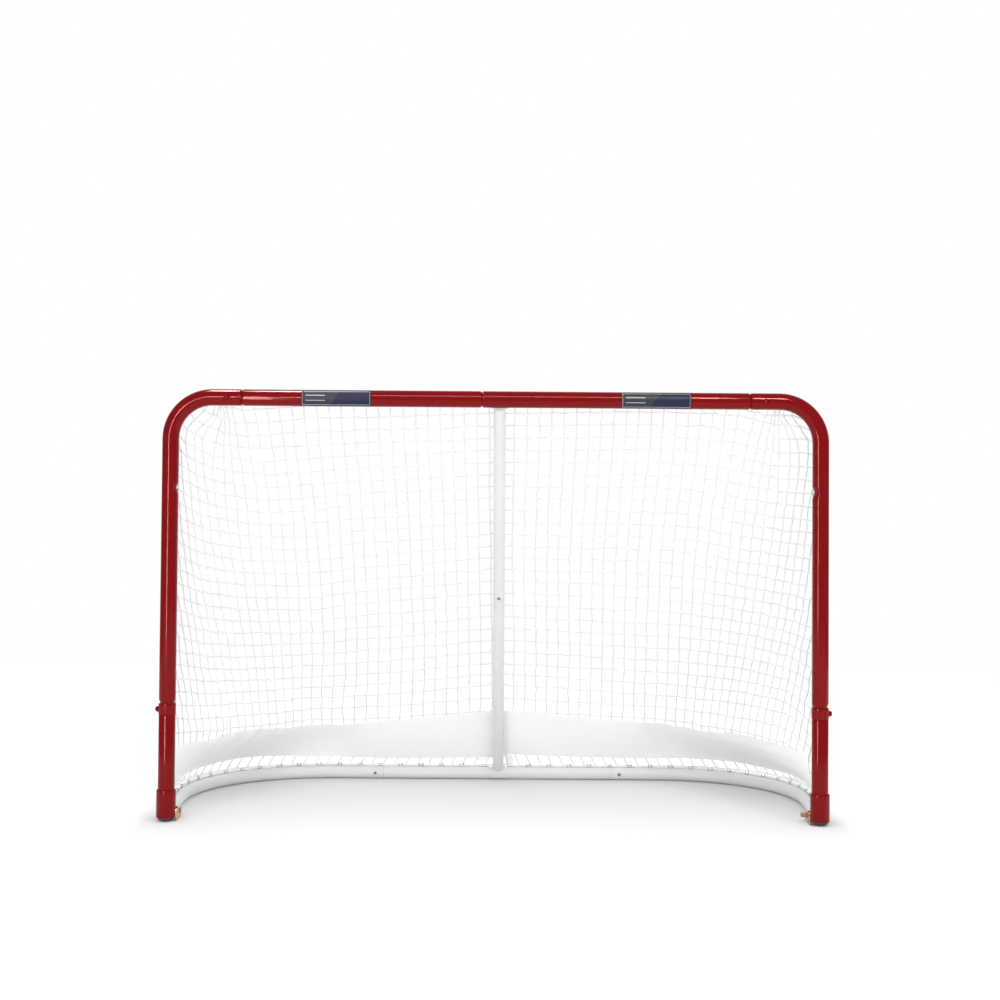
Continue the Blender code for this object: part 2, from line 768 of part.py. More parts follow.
def add_sticker(name, side, root):
    """A thin skin on the front of the crossbar, with the same facets as the tube."""
    inner = FRAME.outer + FIT_GAP
    outer = inner + STICKER_THICKNESS
    step_angle = 2 * math.pi / TUBE_SIDES
    outline = []
    reach = STICKER_FACETS / 2
    for radius, sign in ((outer, 1), (inner, -1)):
        for step in range(STICKER_FACETS + 1):
            angle = sign * (step - reach) * step_angle
            outline.append(Vector((0, -math.cos(angle), math.sin(angle))) * radius)
    start = side * (STICKER_NEAR_X + STICKER_LENGTH / 2) - STICKER_LENGTH / 2
    place = Matrix.Translation(Vector((start, 0, BAR_HEIGHT)))
    add_piece(name, extruded(outline, X_AXIS, STICKER_LENGTH), place, "sticker", root)


# Net, skirt and rope


def base_line(side, reach_in, out, height, steps):
    """Points over the base tube from the foot to reach_in, at an outward offset and a height."""
    radius = BASE_BEND_R + out
    centre = Vector((side * (BASE_X - BASE_BEND_R), BASE_DEPTH - BASE_BEND_R, height))
    points = [Vector((side * (BASE_X + out), ROPE_FRONT, height))]
    points += [point for point, _ in arc(centre, X_AXIS * side, Y_AXIS, radius, steps)]
    points.append(Vector((reach_in, BASE_DEPTH + out, height)))
    return points


def along(points, share):
    """The point at a share of a polyline's length."""
    lengths = [(after - before).length for before, after in zip(points, points[1:])]
    left = share * sum(lengths)
    for before, after, length in zip(points, points[1:], lengths):
        if left <= length:
            return before.lerp(after, left / length)
        left -= length
    return points[-1]


def net_back_point(x, share):
    """A point of the back net's plane: share runs from 0 at the crossbar to 1 at the base."""
    drop = NET_START + (BAR_LENGTH - NET_START - NET_END) * share
    behind = CENTRE.outer + NET_BEHIND_BAR
    point = BAR_TOP + BAR_DIRECTION * drop + BAR_BACK * behind
    return Vector((x, point.y, point.z))


def back_half_width(height):
    rise = BACK_HALF_WIDTH_TOP - BACK_HALF_WIDTH_FOOT
    return BACK_HALF_WIDTH_FOOT + rise * (height / BAR_HEIGHT) ** 2


def side_row(side, row):
    """One row of the side net, from the post to the back net's edge."""
    share = row / NET_ROWS
    join = net_back_point(0, share)
    join.x = side * (back_half_width(join.z) + NET_PANEL_GAP)
    post = Vector((POST_X - NET_POST_R * math.sqrt(0.5), NET_POST_R * math.sqrt(0.5), 0))
    post.z = join.z + SIDE_ROW_DROP * math.sin(math.pi * share)
    if row == 0:
        post = Vector((TOP_CORNER_X, join.y, join.z - TOP_CORNER_DROP))
    post.x *= side
    leave = min(SIDE_LEAVE_LENGTH, join.y * 0.6)
    heading = Vector((-side * math.sin(SIDE_LEAVE_ANGLE), math.cos(SIDE_LEAVE_ANGLE), 0))
    first = post + heading * leave
    first.z = post.z + (join.z - post.z) * 0.4
    second = join + Vector((side * SIDE_JOIN_LENGTH, -SIDE_JOIN_DROP * share, 0))
    if row == 0:
        first = post.lerp(join, 0.33)
        second = post.lerp(join, 0.67)
    foot_height = net_back_point(0, 1).z
    foot_line = base_line(side, join.x, NET_FOOT_OUT, foot_height, BASE_BEND_STEPS)
    weight = min((join.z - foot_height) / NET_FOOT_BLEND, 1.0)
    points = []
    for column in range(SIDE_COLUMNS + 1):
        t = column / SIDE_COLUMNS
        curve = post * (1 - t) ** 3
        curve += first * 3 * t * (1 - t) ** 2
        curve += second * 3 * t**2 * (1 - t)
        curve += join * t**3
        foot = along(foot_line, t)
        foot.z = curve.z
        points.append(foot.lerp(curve, weight))
    return points


def back_row(row):
    share = row / NET_ROWS
    edge = back_half_width(net_back_point(0, share).z)
    points = []
    for column in range(BACK_COLUMNS + 1):
        x = edge * (2 * column / BACK_COLUMNS - 1)
        points.append(net_back_point(x, share))
    return points


def add_net(name, rows, root):
    """Knotless cords run both ways: each quad of the grid keeps a border and loses its middle."""
    bm = sheet(rows)
    middles = list(bm.faces)
    bmesh.ops.inset_individual(bm, faces=middles, thickness=NET_STRIP / 2, use_even_offset=True)
    bmesh.ops.delete(bm, geom=middles, context="FACES_ONLY")
    net = add_piece(name, bm, Matrix.Identity(4), "net_cord", root, smooth=False)
    thicken(net, NET_THICKNESS)


def on_grid(rows, across, height):
    """The point and the plan direction of a net grid at a share across and at a height."""
    columns = len(rows[0]) - 1
    column = min(int(across * columns), columns - 1)
    part = across * columns - column
    line = [row[column].lerp(row[column + 1], part) for row in rows]
    for index, (upper, lower) in enumerate(zip(line, line[1:])):
        if lower.z <= height <= upper.z:
            share = (upper.z - height) / (upper.z - lower.z)
            before = rows[index][column].lerp(rows[index + 1][column], share)
            after = rows[index][column + 1].lerp(rows[index + 1][column + 1], share)
            return upper.lerp(lower, share), (after - before).normalized()
    raise ValueError("the skirt leaves the net")


def skirt_fold(distance):
    return SKIRT_FOLD * 0.5 * (1 - math.cos(2 * math.pi * distance / SKIRT_FOLD_PITCH))


def add_side_skirt(name, side, rows, root):
    """The skirt's end: it rises towards the post and folds inwards from the net."""
    length = sum((after - before).length for before, after in zip(rows[-1], rows[-1][1:]))
    lines = []
    for row in range(SKIRT_ROWS + 1):
        points = []
        for step in range(SKIRT_SIDE_STEPS + 1):
            across = SKIRT_END + (1 - SKIRT_END) * step / SKIRT_SIDE_STEPS
            lift = (1 - across) ** 2
            top = SKIRT_BACK_TOP + (SKIRT_POST_TOP - SKIRT_BACK_TOP) * lift
            bottom = SKIRT_BACK_BOTTOM + (SKIRT_POST_BOTTOM - SKIRT_BACK_BOTTOM) * lift
            height = top + (bottom - top) * row / SKIRT_ROWS
            point, heading = on_grid(rows, across, height)
            inward = Z_AXIS.cross(heading) * side
            hang = math.sin(math.pi * across) * row / SKIRT_ROWS
            depth = SKIRT_CLEAR + skirt_fold(across * length) * hang
            points.append(point + inward * depth)
        lines.append(points)
    skirt = add_piece(name, sheet(lines), Matrix.Identity(4), "cloth", root)
    thicken(skirt, SKIRT_THICKNESS)


def add_back_skirt(name, root):
    top_share = (BAR_HEIGHT - SKIRT_BACK_TOP) / (BAR_HEIGHT - net_back_point(0, 1).z)
    bottom_share = (BAR_HEIGHT - SKIRT_BACK_BOTTOM) / (BAR_HEIGHT - net_back_point(0, 1).z)
    lines = []
    for row in range(SKIRT_ROWS + 1):
        share = top_share + (bottom_share - top_share) * row / SKIRT_ROWS
        height = net_back_point(0, share).z
        edge = back_half_width(height) - NET_PANEL_GAP
        points = []
        for step in range(SKIRT_BACK_STEPS + 1):
            x = edge * (2 * step / SKIRT_BACK_STEPS - 1)
            from_bar = min(abs(x - CENTRE_BAR_X) / SKIRT_FLAT_AT_BAR - 1, 1.0)
            from_edge = 1 - abs(x) / edge
            ease = max(from_bar, 0) * min(from_edge * 4, 1.0) * row / SKIRT_ROWS
            depth = SKIRT_CLEAR + skirt_fold(x) * ease
            points.append(net_back_point(x, share) - BAR_BACK * depth)
        lines.append(points)
    skirt = add_piece(name, sheet(lines), Matrix.Identity(4), "cloth", root)
    thicken(skirt, SKIRT_THICKNESS)


def add_rope(name, side, root):
    """The rope that the net's foot is laced to, lying on the base tube."""
    reach = BASE.outer + FIT_GAP + ROPE_D / 2
    out = reach * math.sin(ROPE_LEAN)
    height = BASE_Z + reach * math.cos(ROPE_LEAN)
    end = CENTRE_BAR_X + side * (SADDLE_WIDTH / 2 + ROPE_SADDLE_GAP)
    points = base_line(side, end, out, height, ROPE_BEND_STEPS)
    curve = bpy.data.curves.new(name, "CURVE")
    curve.dimensions = "3D"
    curve.bevel_depth = ROPE_D / 2
    curve.bevel_resolution = 2
    curve.use_fill_caps = True
    spline = curve.splines.new("POLY")
    spline.points.add(len(points) - 1)
    for target, point in zip(spline.points, points):
        target.co = (*point, 1.0)
    rope = bpy.data.objects.new(name, curve)
    rope.parent = root
    bpy.context.scene.collection.objects.link(rope)
    add_finish(rope, "net_cord")


# The whole goal


def add_red_frame(root):
    pieces = add_crossbar(root)
    collar_outer = FRAME.outer + FIT_GAP + COLLAR_WALL
    for prefix, side in (("left", -1), ("right", 1)):
        post = add_corner_post(prefix + "_corner_post", side, root)
        leg = add_leg(prefix + "_leg", side, root)
        collar = add_ring_sleeve(
            prefix + "_leg_collar",
            side,
            LEG_JOINT_Z - COLLAR_LENGTH,
            LEG_JOINT_Z,
            collar_outer,
            root,
        )
        add_ring_sleeve(
            prefix + "_foot_sleeve", side, SLEEVE_BOTTOM, SLEEVE_TOP, SLEEVE_D / 2, root
        )
        add_foot_plug(prefix + "_foot_plug", side, root)
        add_post_rivet(prefix + "_post_rivet", side, post, root)
        add_sticker(prefix + "_sticker", side, root)
        add_snap_button(
            prefix + "_crossbar_button",
            FRAME,
            Vector((side * CORNER_JOINT_X, 0, BAR_HEIGHT)),
            X_AXIS * side,
            CORNER_BUTTON_INSET,
            -Y_AXIS,
            [pieces["crossbar_" + prefix], post],
            root,
        )
        add_snap_button(
            prefix + "_leg_button",
            FRAME,
            Vector((side * POST_X, 0, LEG_JOINT_Z)),
            -Z_AXIS,
            LEG_BUTTON_INSET,
            X_AXIS * side,
            [post, leg, collar],
            root,
        )
    return pieces


def add_white_base(root):
    rear_bar = add_rear_bar(root)
    joints = {"left": (-1, REAR_JOINT_LEFT_X), "right": (1, REAR_JOINT_RIGHT_X)}
    for prefix, (side, joint_x) in joints.items():
        base_side = add_base_side(prefix + "_base_tube", side, joint_x, root)
        bracket = add_foot_bracket(prefix + "_foot_bracket", side, root)
        add_foot_hinge(prefix, side, bracket, base_side, root)
        add_rope(prefix + "_lacing_rope", side, root)
        add_snap_button(
            prefix + "_base_button",
            BASE,
            Vector((joint_x, BASE_DEPTH, BASE_Z)),
            X_AXIS * side,
            REAR_BUTTON_INSET,
            -Y_AXIS,
            [base_side, rear_bar],
            root,
        )
    return rear_bar


def add_middle(root, crossbar, rear_bar):
    top_outer = saddle_inner(FRAME, TOP_SADDLE_TO - TOP_SADDLE_FROM) + SADDLE_PLATE
    foot_outer = saddle_inner(BASE, FOOT_SADDLE_TO - FOOT_SADDLE_FROM) + SADDLE_PLATE
    bars = add_centre_bar(root, top_outer + FIT_GAP, foot_outer + FIT_GAP)
    add_saddle(
        "top_saddle",
        FRAME,
        BAR_TOP,
        BAR_DIRECTION,
        TOP_SADDLE_FROM,
        TOP_SADDLE_TO,
        TOP_SCREW_ANGLE,
        [crossbar["crossbar_left"], crossbar["crossbar_right"]],
        root,
    )
    add_saddle(
        "foot_saddle",
        BASE,
        BAR_FOOT,
        -BAR_DIRECTION,
        FOOT_SADDLE_FROM,
        FOOT_SADDLE_TO,
        FOOT_SCREW_ANGLE,
        [rear_bar],
        root,
    )
    add_snap_button(
        "centre_bar_button",
        CENTRE,
        BAR_TOP + BAR_DIRECTION * CENTRE_JOINT_DROP,
        -BAR_DIRECTION,
        CENTRE_BUTTON_INSET,
        -BAR_BACK,
        [bars["centre_bar_upper"], bars["centre_bar_lower"]],
        root,
    )


def add_soft_pieces(root):
    add_net("net_back", [back_row(row) for row in range(NET_ROWS + 1)], root)
    add_back_skirt("skirt_back", root)
    for prefix, side in (("left", -1), ("right", 1)):
        rows = [side_row(side, row) for row in range(NET_ROWS + 1)]
        add_net(prefix + "_side_net", rows, root)
        add_side_skirt(prefix + "_side_skirt", side, rows, root)


def build_goal():
    clear_scene()
    root = add_root()
    crossbar = add_red_frame(root)
    rear_bar = add_white_base(root)
    add_middle(root, crossbar, rear_bar)
    add_soft_pieces(root)
    bpy.context.view_layer.update()


build_goal()
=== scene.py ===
# Hockey goal, dressed: powder-coated tubes, plated hardware, knotted net, skirt and lacing.
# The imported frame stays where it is, and every piece is worked out from its boxes, in metres.
import json
import math
import random

import bpy
import numpy as np
from mathutils import Matrix, Vector


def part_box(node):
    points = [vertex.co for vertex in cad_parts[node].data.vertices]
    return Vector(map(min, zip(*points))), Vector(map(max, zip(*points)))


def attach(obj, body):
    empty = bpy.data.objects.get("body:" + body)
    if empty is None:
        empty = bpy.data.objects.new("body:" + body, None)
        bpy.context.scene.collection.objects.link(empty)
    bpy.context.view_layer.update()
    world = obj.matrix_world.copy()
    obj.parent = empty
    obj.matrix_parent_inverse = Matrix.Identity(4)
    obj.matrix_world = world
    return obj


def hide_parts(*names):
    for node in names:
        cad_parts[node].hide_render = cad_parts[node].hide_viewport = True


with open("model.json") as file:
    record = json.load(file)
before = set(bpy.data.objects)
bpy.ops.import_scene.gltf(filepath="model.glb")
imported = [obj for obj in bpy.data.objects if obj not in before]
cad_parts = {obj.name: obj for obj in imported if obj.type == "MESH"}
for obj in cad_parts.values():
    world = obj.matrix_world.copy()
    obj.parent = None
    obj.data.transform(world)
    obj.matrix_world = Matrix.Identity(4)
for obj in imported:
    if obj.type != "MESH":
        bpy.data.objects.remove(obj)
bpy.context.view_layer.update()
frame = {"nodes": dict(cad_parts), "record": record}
print("frame loaded")

# Places that the frame gives


def middleOf(node):
    low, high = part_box(node)
    return (low + high) / 2


def halfOf(node):
    low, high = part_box(node)
    return (high - low) / 2


def bodyOf(node):
    for body, members in frame["record"]["behaviour"]["bodies"].items():
        if node in members:
            return body
    raise ValueError(node)


alongX, alongY, alongZ = Vector((1, 0, 0)), Vector((0, 1, 0)), Vector((0, 0, 1))
postX, mouthY, _ = middleOf("right_leg")
frameR = halfOf("right_leg").x
crossbarZ = middleOf("crossbar_right").z
baseR = halfOf("base_rear_bar").z
_, baseY, baseZ = middleOf("base_rear_bar")
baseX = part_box("right_base_tube")[1].x - baseR
barR = halfOf("centre_bar_upper").x
barTop = Vector((middleOf("centre_bar_upper").x, mouthY, crossbarZ))
barFoot = Vector((barTop.x, baseY, baseZ))
barDown = (barFoot - barTop).normalized()
barBack = alongX.cross(barDown).normalized()
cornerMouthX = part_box("right_corner_post")[0].x
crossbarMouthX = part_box("crossbar_right")[0].x
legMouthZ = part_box("right_leg")[1].z
rearMouthX = {"left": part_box("left_base_tube")[1].x, "right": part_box("right_base_tube")[0].x}
sides = {"left": -1, "right": 1}

# Camera, at the photograph's viewing angle

cameraPlace = {
    "lens": 67.0,
    "sensor": 36.0,
    "stand": (0.03858, -5.72089, 1.09235),
    "pitch": 0.03089,
    "yaw": -0.00315,
    "roll": 0.00766,
    "shift": (-0.01567, -0.11527),
}


def setCamera(place):
    lens = bpy.data.cameras.new("camera")
    lens.lens = place["lens"]
    lens.sensor_width = place["sensor"]
    lens.shift_x, lens.shift_y = place["shift"]
    camera = bpy.data.objects.new("camera", lens)
    aim = Matrix.Rotation(place["yaw"], 4, "Z")
    aim @= Matrix.Rotation(math.pi / 2 + place["pitch"], 4, "X")
    aim @= Matrix.Rotation(place["roll"], 4, "Z")
    camera.matrix_world = Matrix.Translation(place["stand"]) @ aim
    bpy.context.scene.collection.objects.link(camera)
    bpy.context.scene.camera = camera


setCamera(cameraPlace)
bpy.context.scene.view_settings.view_transform = "Standard"

# Materials: each function gives a finish, which is a material and the slot that it goes in


def hexColour(text):
    parts = [int(text[at:at + 2], 16) / 255 for at in (0, 2, 4)]
    return [p / 12.92 if p <= 0.04045 else ((p + 0.055) / 1.055) ** 2.4 for p in parts] + [1.0]


def addNode(tree, kind, values=None):
    # a value sets an input or a setting, and another node's output is linked to the input
    node = tree.nodes.new("ShaderNode" + kind)
    for name, value in (values or {}).items():
        if isinstance(value, bpy.types.NodeSocket):
            tree.links.new(value, node.inputs[name])
        elif isinstance(name, int) or name in node.inputs:
            node.inputs[name].default_value = value
        else:
            setattr(node, name, value)
    return node


def maths(tree, operation, first, second=0.0):
    return addNode(tree, "Math", {"operation": operation, 0: first, 1: second}).outputs[0]


def ramp(tree, value, low, high, first=0.0, last=1.0):
    ends = {"From Min": low, "From Max": high, "To Min": first, "To Max": last}
    return addNode(tree, "MapRange", {"Value": value, **ends}).outputs["Result"]


def mixColours(tree, factor, *colours):
    first, second = (hexColour(each) if isinstance(each, str) else each for each in colours)
    mix = addNode(tree, "Mix", {"data_type": "RGBA", 0: factor, 6: first, 7: second})
    return mix.outputs[2]


def mixLevels(tree, factor, first, second):
    mix = addNode(tree, "Mix", {"data_type": "FLOAT", 0: factor, 2: first, 3: second})
    return mix.outputs[0]


def noise(tree, size, detail, place=None):
    # patches of so many millimetres
    if place is None:
        place = addNode(tree, "TexCoord").outputs["Object"]
    values = {"Scale": 1000 / size, "Detail": detail, "Vector": place}
    return addNode(tree, "TexNoise", values).outputs["Fac"]


def uvParts(tree, layer):
    uv = addNode(tree, "UVMap", {"uv_map": layer}).outputs["UV"]
    parts = addNode(tree, "SeparateXYZ", {"Vector": uv}).outputs
    return parts["X"], parts["Y"]


def startMaterial(name, roughness, level=0.5, metallic=0.0):
    material = bpy.data.materials.new(name)
    material.use_nodes = True
    shader = material.node_tree.nodes["Principled BSDF"]
    shader.inputs["Roughness"].default_value = roughness
    shader.inputs["Metallic"].default_value = metallic
    shader.inputs["Specular IOR Level"].default_value = level
    return material, material.node_tree, shader


def colourAndBump(tree, shader, colour, height, strength, distance):
    tree.links.new(colour, shader.inputs["Base Color"])
    bump = addNode(tree, "Bump", {"Strength": strength, "Distance": distance, "Height": height})
    tree.links.new(bump.outputs["Normal"], shader.inputs["Normal"])


def mottled(name, slot, colours, patch, grain, bump, roughness, level=0.5, metallic=0.0,
            tint="ffffff", meet=None, varies=None):
    # two colours that meet in patches, under a grain; both give a size in millimetres and a detail
    material, tree, shader = startMaterial(name, roughness, level, metallic)
    shader.inputs["Specular Tint"].default_value = hexColour(tint)
    spread = noise(tree, *patch)
    if varies:
        sheen = ramp(tree, spread, 0, 1, roughness - varies[0], roughness + varies[1])
        tree.links.new(sheen, shader.inputs["Roughness"])
    if meet:
        spread = ramp(tree, spread, *meet)
    colour = mixColours(tree, spread, *colours)
    colourAndBump(tree, shader, colour, noise(tree, *grain), *bump)
    return material, slot


def twistedTwine(name, colour, shade, lay, strands=3):
    # polyester twine: strands that spiral round the cord; UV runs round it and along it in metres.
    # The grooves between the strands take the darker shade colour, which is painted shade
    material, tree, shader = startMaterial(name, 0.82, 0.25)
    around, along = uvParts(tree, "cord")
    turns = maths(tree, "ADD", maths(tree, "DIVIDE", along, lay), around)
    wave = maths(tree, "SINE", maths(tree, "MULTIPLY", turns, math.pi * strands))
    groove = maths(tree, "ABSOLUTE", wave)
    colourAndBump(tree, shader, mixColours(tree, groove, shade, colour), groove, 0.6, 0.0006)
    return material, "net_cord"


def wovenCloth(threadMm=2.0, stainMm=120):
    # plain-woven white polyester; its threads are under 1 mm, and drawn wider so that they show
    material, tree, shader = startMaterial("woven_polyester_cloth", 0.9, 0.2)
    shader.inputs["Sheen Weight"].default_value = 0.15
    uv = addNode(tree, "UVMap", {"uv_map": "cloth"}).outputs["UV"]
    threads = {"Scale": 1000 / threadMm / math.pi, "Distortion": 0.4, "Vector": uv}
    across, down = (
        addNode(tree, "TexWave", {"bands_direction": way, **threads}).outputs["Fac"] for way in "XY"
    )
    colour = mixColours(tree, noise(tree, stainMm, 4.0, uv), "f8f8f8", "fdfdfd")
    colourAndBump(tree, shader, colour, maths(tree, "MULTIPLY", across, down), 0.12, 0.0003)
    return material, "cloth"


# shares of the film's length and height: where the second colour starts and how far that edge
# leans, the line round the film (its outer and inner edge) and the two stripes
filmPrint = {
    "grounds": ("3a3b42", "282b43"),
    "pale": "a9adb6",
    "split": 0.40,
    "lean": 0.17,
    "line": (((0.012, 0.988), (0.10, 0.90)), ((0.018, 0.982), (0.135, 0.865))),
    "stripes": (((0.06, 0.34), (0.61, 0.67)), ((0.06, 0.34), (0.36, 0.40))),
}


def printedVinyl():
    # gloss vinyl film printed in two dark colours with pale lines; UV runs along and up the film
    material, tree, shader = startMaterial("printed_vinyl_film", 0.42, 0.12)
    along, up = uvParts(tree, "film")

    def band(value, low, high):
        edges = (maths(tree, "GREATER_THAN", value, edge) for edge in (low, high))
        return maths(tree, "SUBTRACT", *edges)

    def panels(spans):
        return (maths(tree, "MULTIPLY", band(along, *x), band(up, *y)) for x, y in spans)

    slant = maths(tree, "SUBTRACT", along, maths(tree, "MULTIPLY", up, filmPrint["lean"]))
    split = maths(tree, "GREATER_THAN", slant, filmPrint["split"])
    line = maths(tree, "SUBTRACT", *panels(filmPrint["line"]))
    stripes = maths(tree, "ADD", *panels(filmPrint["stripes"]))
    ground = mixColours(tree, split, *filmPrint["grounds"])
    colour = mixColours(tree, maths(tree, "MAXIMUM", line, stripes), ground, filmPrint["pale"])
    tree.links.new(colour, shader.inputs["Base Color"])
    return material, "sticker"


# polyester powder coat baked on steel: a smooth skin with orange peel a few millimetres across
powder = {"patch": (90, 4.0), "grain": (3.5, 1.0), "bump": (0.03, 0.0004), "varies": (0.02, 0.04)}
redPaint = mottled("red_powder_coat", "red_paint", ("7e1014", "731113"),
                   roughness=0.11, level=0.22, tint="ffb8b4", **powder)
whitePaint = mottled("white_powder_coat", "white_paint", ("e1e2e2", "dddede"),
                     roughness=0.36, level=0.15, **powder)
# zinc plate with a yellow passivate, which shades from straw to pink over a few millimetres
zinc = mottled("yellow_zinc_plate", "zinc", ("cfae7c", "a8705f"), patch=(9, 2.0), grain=(0.8, 2.0),
               bump=(0.1, 0.0002), roughness=0.24, metallic=1.0, meet=(0.38, 0.62))
# tempered strip and pins, ground bright and then darkened by oil
spring = mottled("spring_steel", "spring_steel", ("6f7073", "929396"), patch=(0.6, 3.0),
                 grain=(0.6, 3.0), bump=(0.12, 0.0001), roughness=0.32, metallic=1.0)
# solid black rubber with a bloom that turns it grey, moulded with a fine spark-eroded texture
rubber = mottled("moulded_rubber", "rubber", ("2f3436", "474d4c"), patch=(14, 3.0),
                 grain=(0.9, 3.0), bump=(0.3, 0.0003), roughness=0.72, level=0.4)
# each twine's second colour is painted shade, for the grooves between its strands
netTwine = twistedTwine("net_twine", "f3f3f3", "e2e3e4", 0.007)
ropeTwine = twistedTwine("rope_twine", "ffffff", "e4e4e4", 0.014)
# white lacing cord coloured mid grey, darker in its grooves: painted shade for the shadows round
# the rope and the tube
laceTwineGreyAsShade = twistedTwine("lacing_twine_painted_shade", "a8a8aa", "7a7a7e", 0.006)
cloth = wovenCloth()
vinyl = printedVinyl()
print("materials ready")

# Modelling helpers: a ring is pushed, turned and resized in edit mode


def startFresh():
    if bpy.context.mode != "OBJECT":
        bpy.ops.object.mode_set(mode="OBJECT")
    bpy.ops.object.select_all(action="DESELECT")


def activate(piece):
    startFresh()
    piece.select_set(True)
    bpy.context.view_layer.objects.active = piece


def applyModifier(piece, kind, **settings):
    modifier = piece.modifiers.new(kind.lower(), kind)
    for name, value in settings.items():
        setattr(modifier, name, value)
    activate(piece)
    bpy.ops.object.modifier_apply(modifier=modifier.name)


def dress(piece, name, finish, *nodes):
    # names a finished piece, gives it its finish and ties it to the frame
    material, slot = finish
    piece.name = piece.data.name = name
    piece.data.materials.clear()
    piece.data.materials.append(material)
    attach(piece, bodyOf(nodes[0]) if nodes else "goal")
    if nodes:
        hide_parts(*nodes)


def smoothEdges(piece, degrees=35):
    activate(piece)
    bpy.ops.object.shade_smooth_by_angle(angle=math.radians(degrees))


def roundEdges(piece, width, segments=2, degrees=60):
    applyModifier(piece, "BEVEL", width=width, segments=segments, limit_method="ANGLE",
                  angle_limit=math.radians(degrees), harden_normals=False)


def startRing(place, way, radius, count, fill="NOTHING"):
    startFresh()
    turn = Vector(way).to_track_quat("Z", "X").to_euler()
    bpy.ops.mesh.primitive_circle_add(
        vertices=count, radius=radius, fill_type=fill, location=place, rotation=turn
    )
    bpy.ops.object.transform_apply(location=True, rotation=True, scale=True)
    bpy.ops.object.mode_set(mode="EDIT")
    bpy.ops.mesh.select_all(action="SELECT")
    return bpy.context.object


def pushRing(step, place, share):
    bpy.ops.mesh.extrude_region_move(TRANSFORM_OT_translate={"value": step})
    if share != 1:
        bpy.ops.transform.resize(value=(share, share, share), center_override=place)


def finishShape(piece):
    bpy.ops.mesh.select_all(action="SELECT")
    bpy.ops.mesh.normals_make_consistent(inside=False)
    bpy.ops.object.mode_set(mode="OBJECT")


def turnedPiece(place, way, profile, count=32):
    # a round solid: a disc pushed along way, wider or narrower at each (radius, height)
    place, way = Vector(place), Vector(way).normalized()
    radius, height = profile[0]
    piece = startRing(place + way * height, way, radius, count, "NGON")
    for nextRadius, nextHeight in profile[1:]:
        pushRing(way * (nextHeight - height), place + way * nextHeight, nextRadius / radius)
        radius, height = nextRadius, nextHeight
    finishShape(piece)
    return piece


def block(low, high):
    low, high = Vector(low), Vector(high)
    startFresh()
    bpy.ops.mesh.primitive_cube_add(size=1, location=(low + high) / 2)
    piece = bpy.context.object
    piece.scale = high - low
    bpy.ops.object.transform_apply(location=True, rotation=True, scale=True)
    return piece


def cutBy(piece, cutter, operation="DIFFERENCE"):
    applyModifier(piece, "BOOLEAN", object=cutter, operation=operation, solver="EXACT")
    bpy.data.objects.remove(cutter, do_unlink=True)


def drill(piece, place, way, radius, start, end):
    cutBy(piece, turnedPiece(place, way, [(radius, start), (radius, end)]))


def meshPiece(verts, faces, uvs, layer):
    # uvs has one for each corner of each face
    startFresh()
    mesh = bpy.data.meshes.new(layer)
    mesh.from_pydata([tuple(vert) for vert in verts], [], faces)
    mesh.uv_layers.new(name=layer).data.foreach_set("uv", np.asarray(uvs, float).ravel())
    mesh.update()
    piece = bpy.data.objects.new(layer, mesh)
    bpy.context.scene.collection.objects.link(piece)
    piece.data.shade_smooth()
    return piece


def gridPiece(verts, uvs, columns, rows, layer, turned=False):
    # a sheet of quads over columns of points, with its front on the other side if turned
    faces = []
    for column in range(columns):
        for row in range(rows):
            a = column * (rows + 1) + row
            b = a + rows + 1
            faces.append((a, b, b + 1, a + 1) if turned else (a, a + 1, b + 1, b))
    return meshPiece(verts, faces, [uvs[index] for face in faces for index in face], layer)


def cordPiece(paths, count, name, finish, *nodes):
    # tubes of a few sides along (points, radius) paths; a radius is one number or one per point
    verts, faces, uvs, base = [], [], [], 0
    angles = np.arange(count) * 2 * math.pi / count
    for points, radius in paths:
        points = np.asarray(points, float)
        rows = len(points)
        steps = np.diff(points, axis=0)
        sizes = np.linalg.norm(steps, axis=1)
        lengths = np.concatenate([[0], np.cumsum(sizes)])
        ways = np.zeros_like(points)
        ways[1:] += steps / sizes[:, None]
        ways[:-1] += steps / sizes[:, None]
        ways /= np.linalg.norm(ways, axis=1)[:, None]
        up = np.array([0.0, 0.0, 1.0] if abs(ways[0][2]) < 0.8 else [0.0, 1.0, 0.0])
        radii = np.broadcast_to(np.asarray(radius, float), rows)
        for way, point, reach in zip(ways, points, radii):
            up = up - way * (up @ way)
            up /= np.linalg.norm(up)
            across = np.cross(way, up)
            ring = np.outer(np.cos(angles), up) + np.outer(np.sin(angles), across)
            verts.append(point + reach * ring)
        for row in range(rows - 1):
            v0, v1 = lengths[row], lengths[row + 1]
            for step in range(count):
                a, b = (base + row * count + at for at in (step, (step + 1) % count))
                faces.append((a, b, b + count, a + count))
                u0, u1 = step / count, (step + 1) / count
                uvs += [(u0, v0), (u1, v0), (u1, v1), (u0, v1)]
        last = base + (rows - 1) * count
        faces.append(tuple(base + step for step in reversed(range(count))))
        faces.append(tuple(last + step for step in range(count)))
        uvs += [(0, 0)] * count + [(0, lengths[-1])] * count
        base += rows * count
    dress(meshPiece(np.concatenate(verts), faces, uvs, "cord"), name, finish, *nodes)


# Tubes

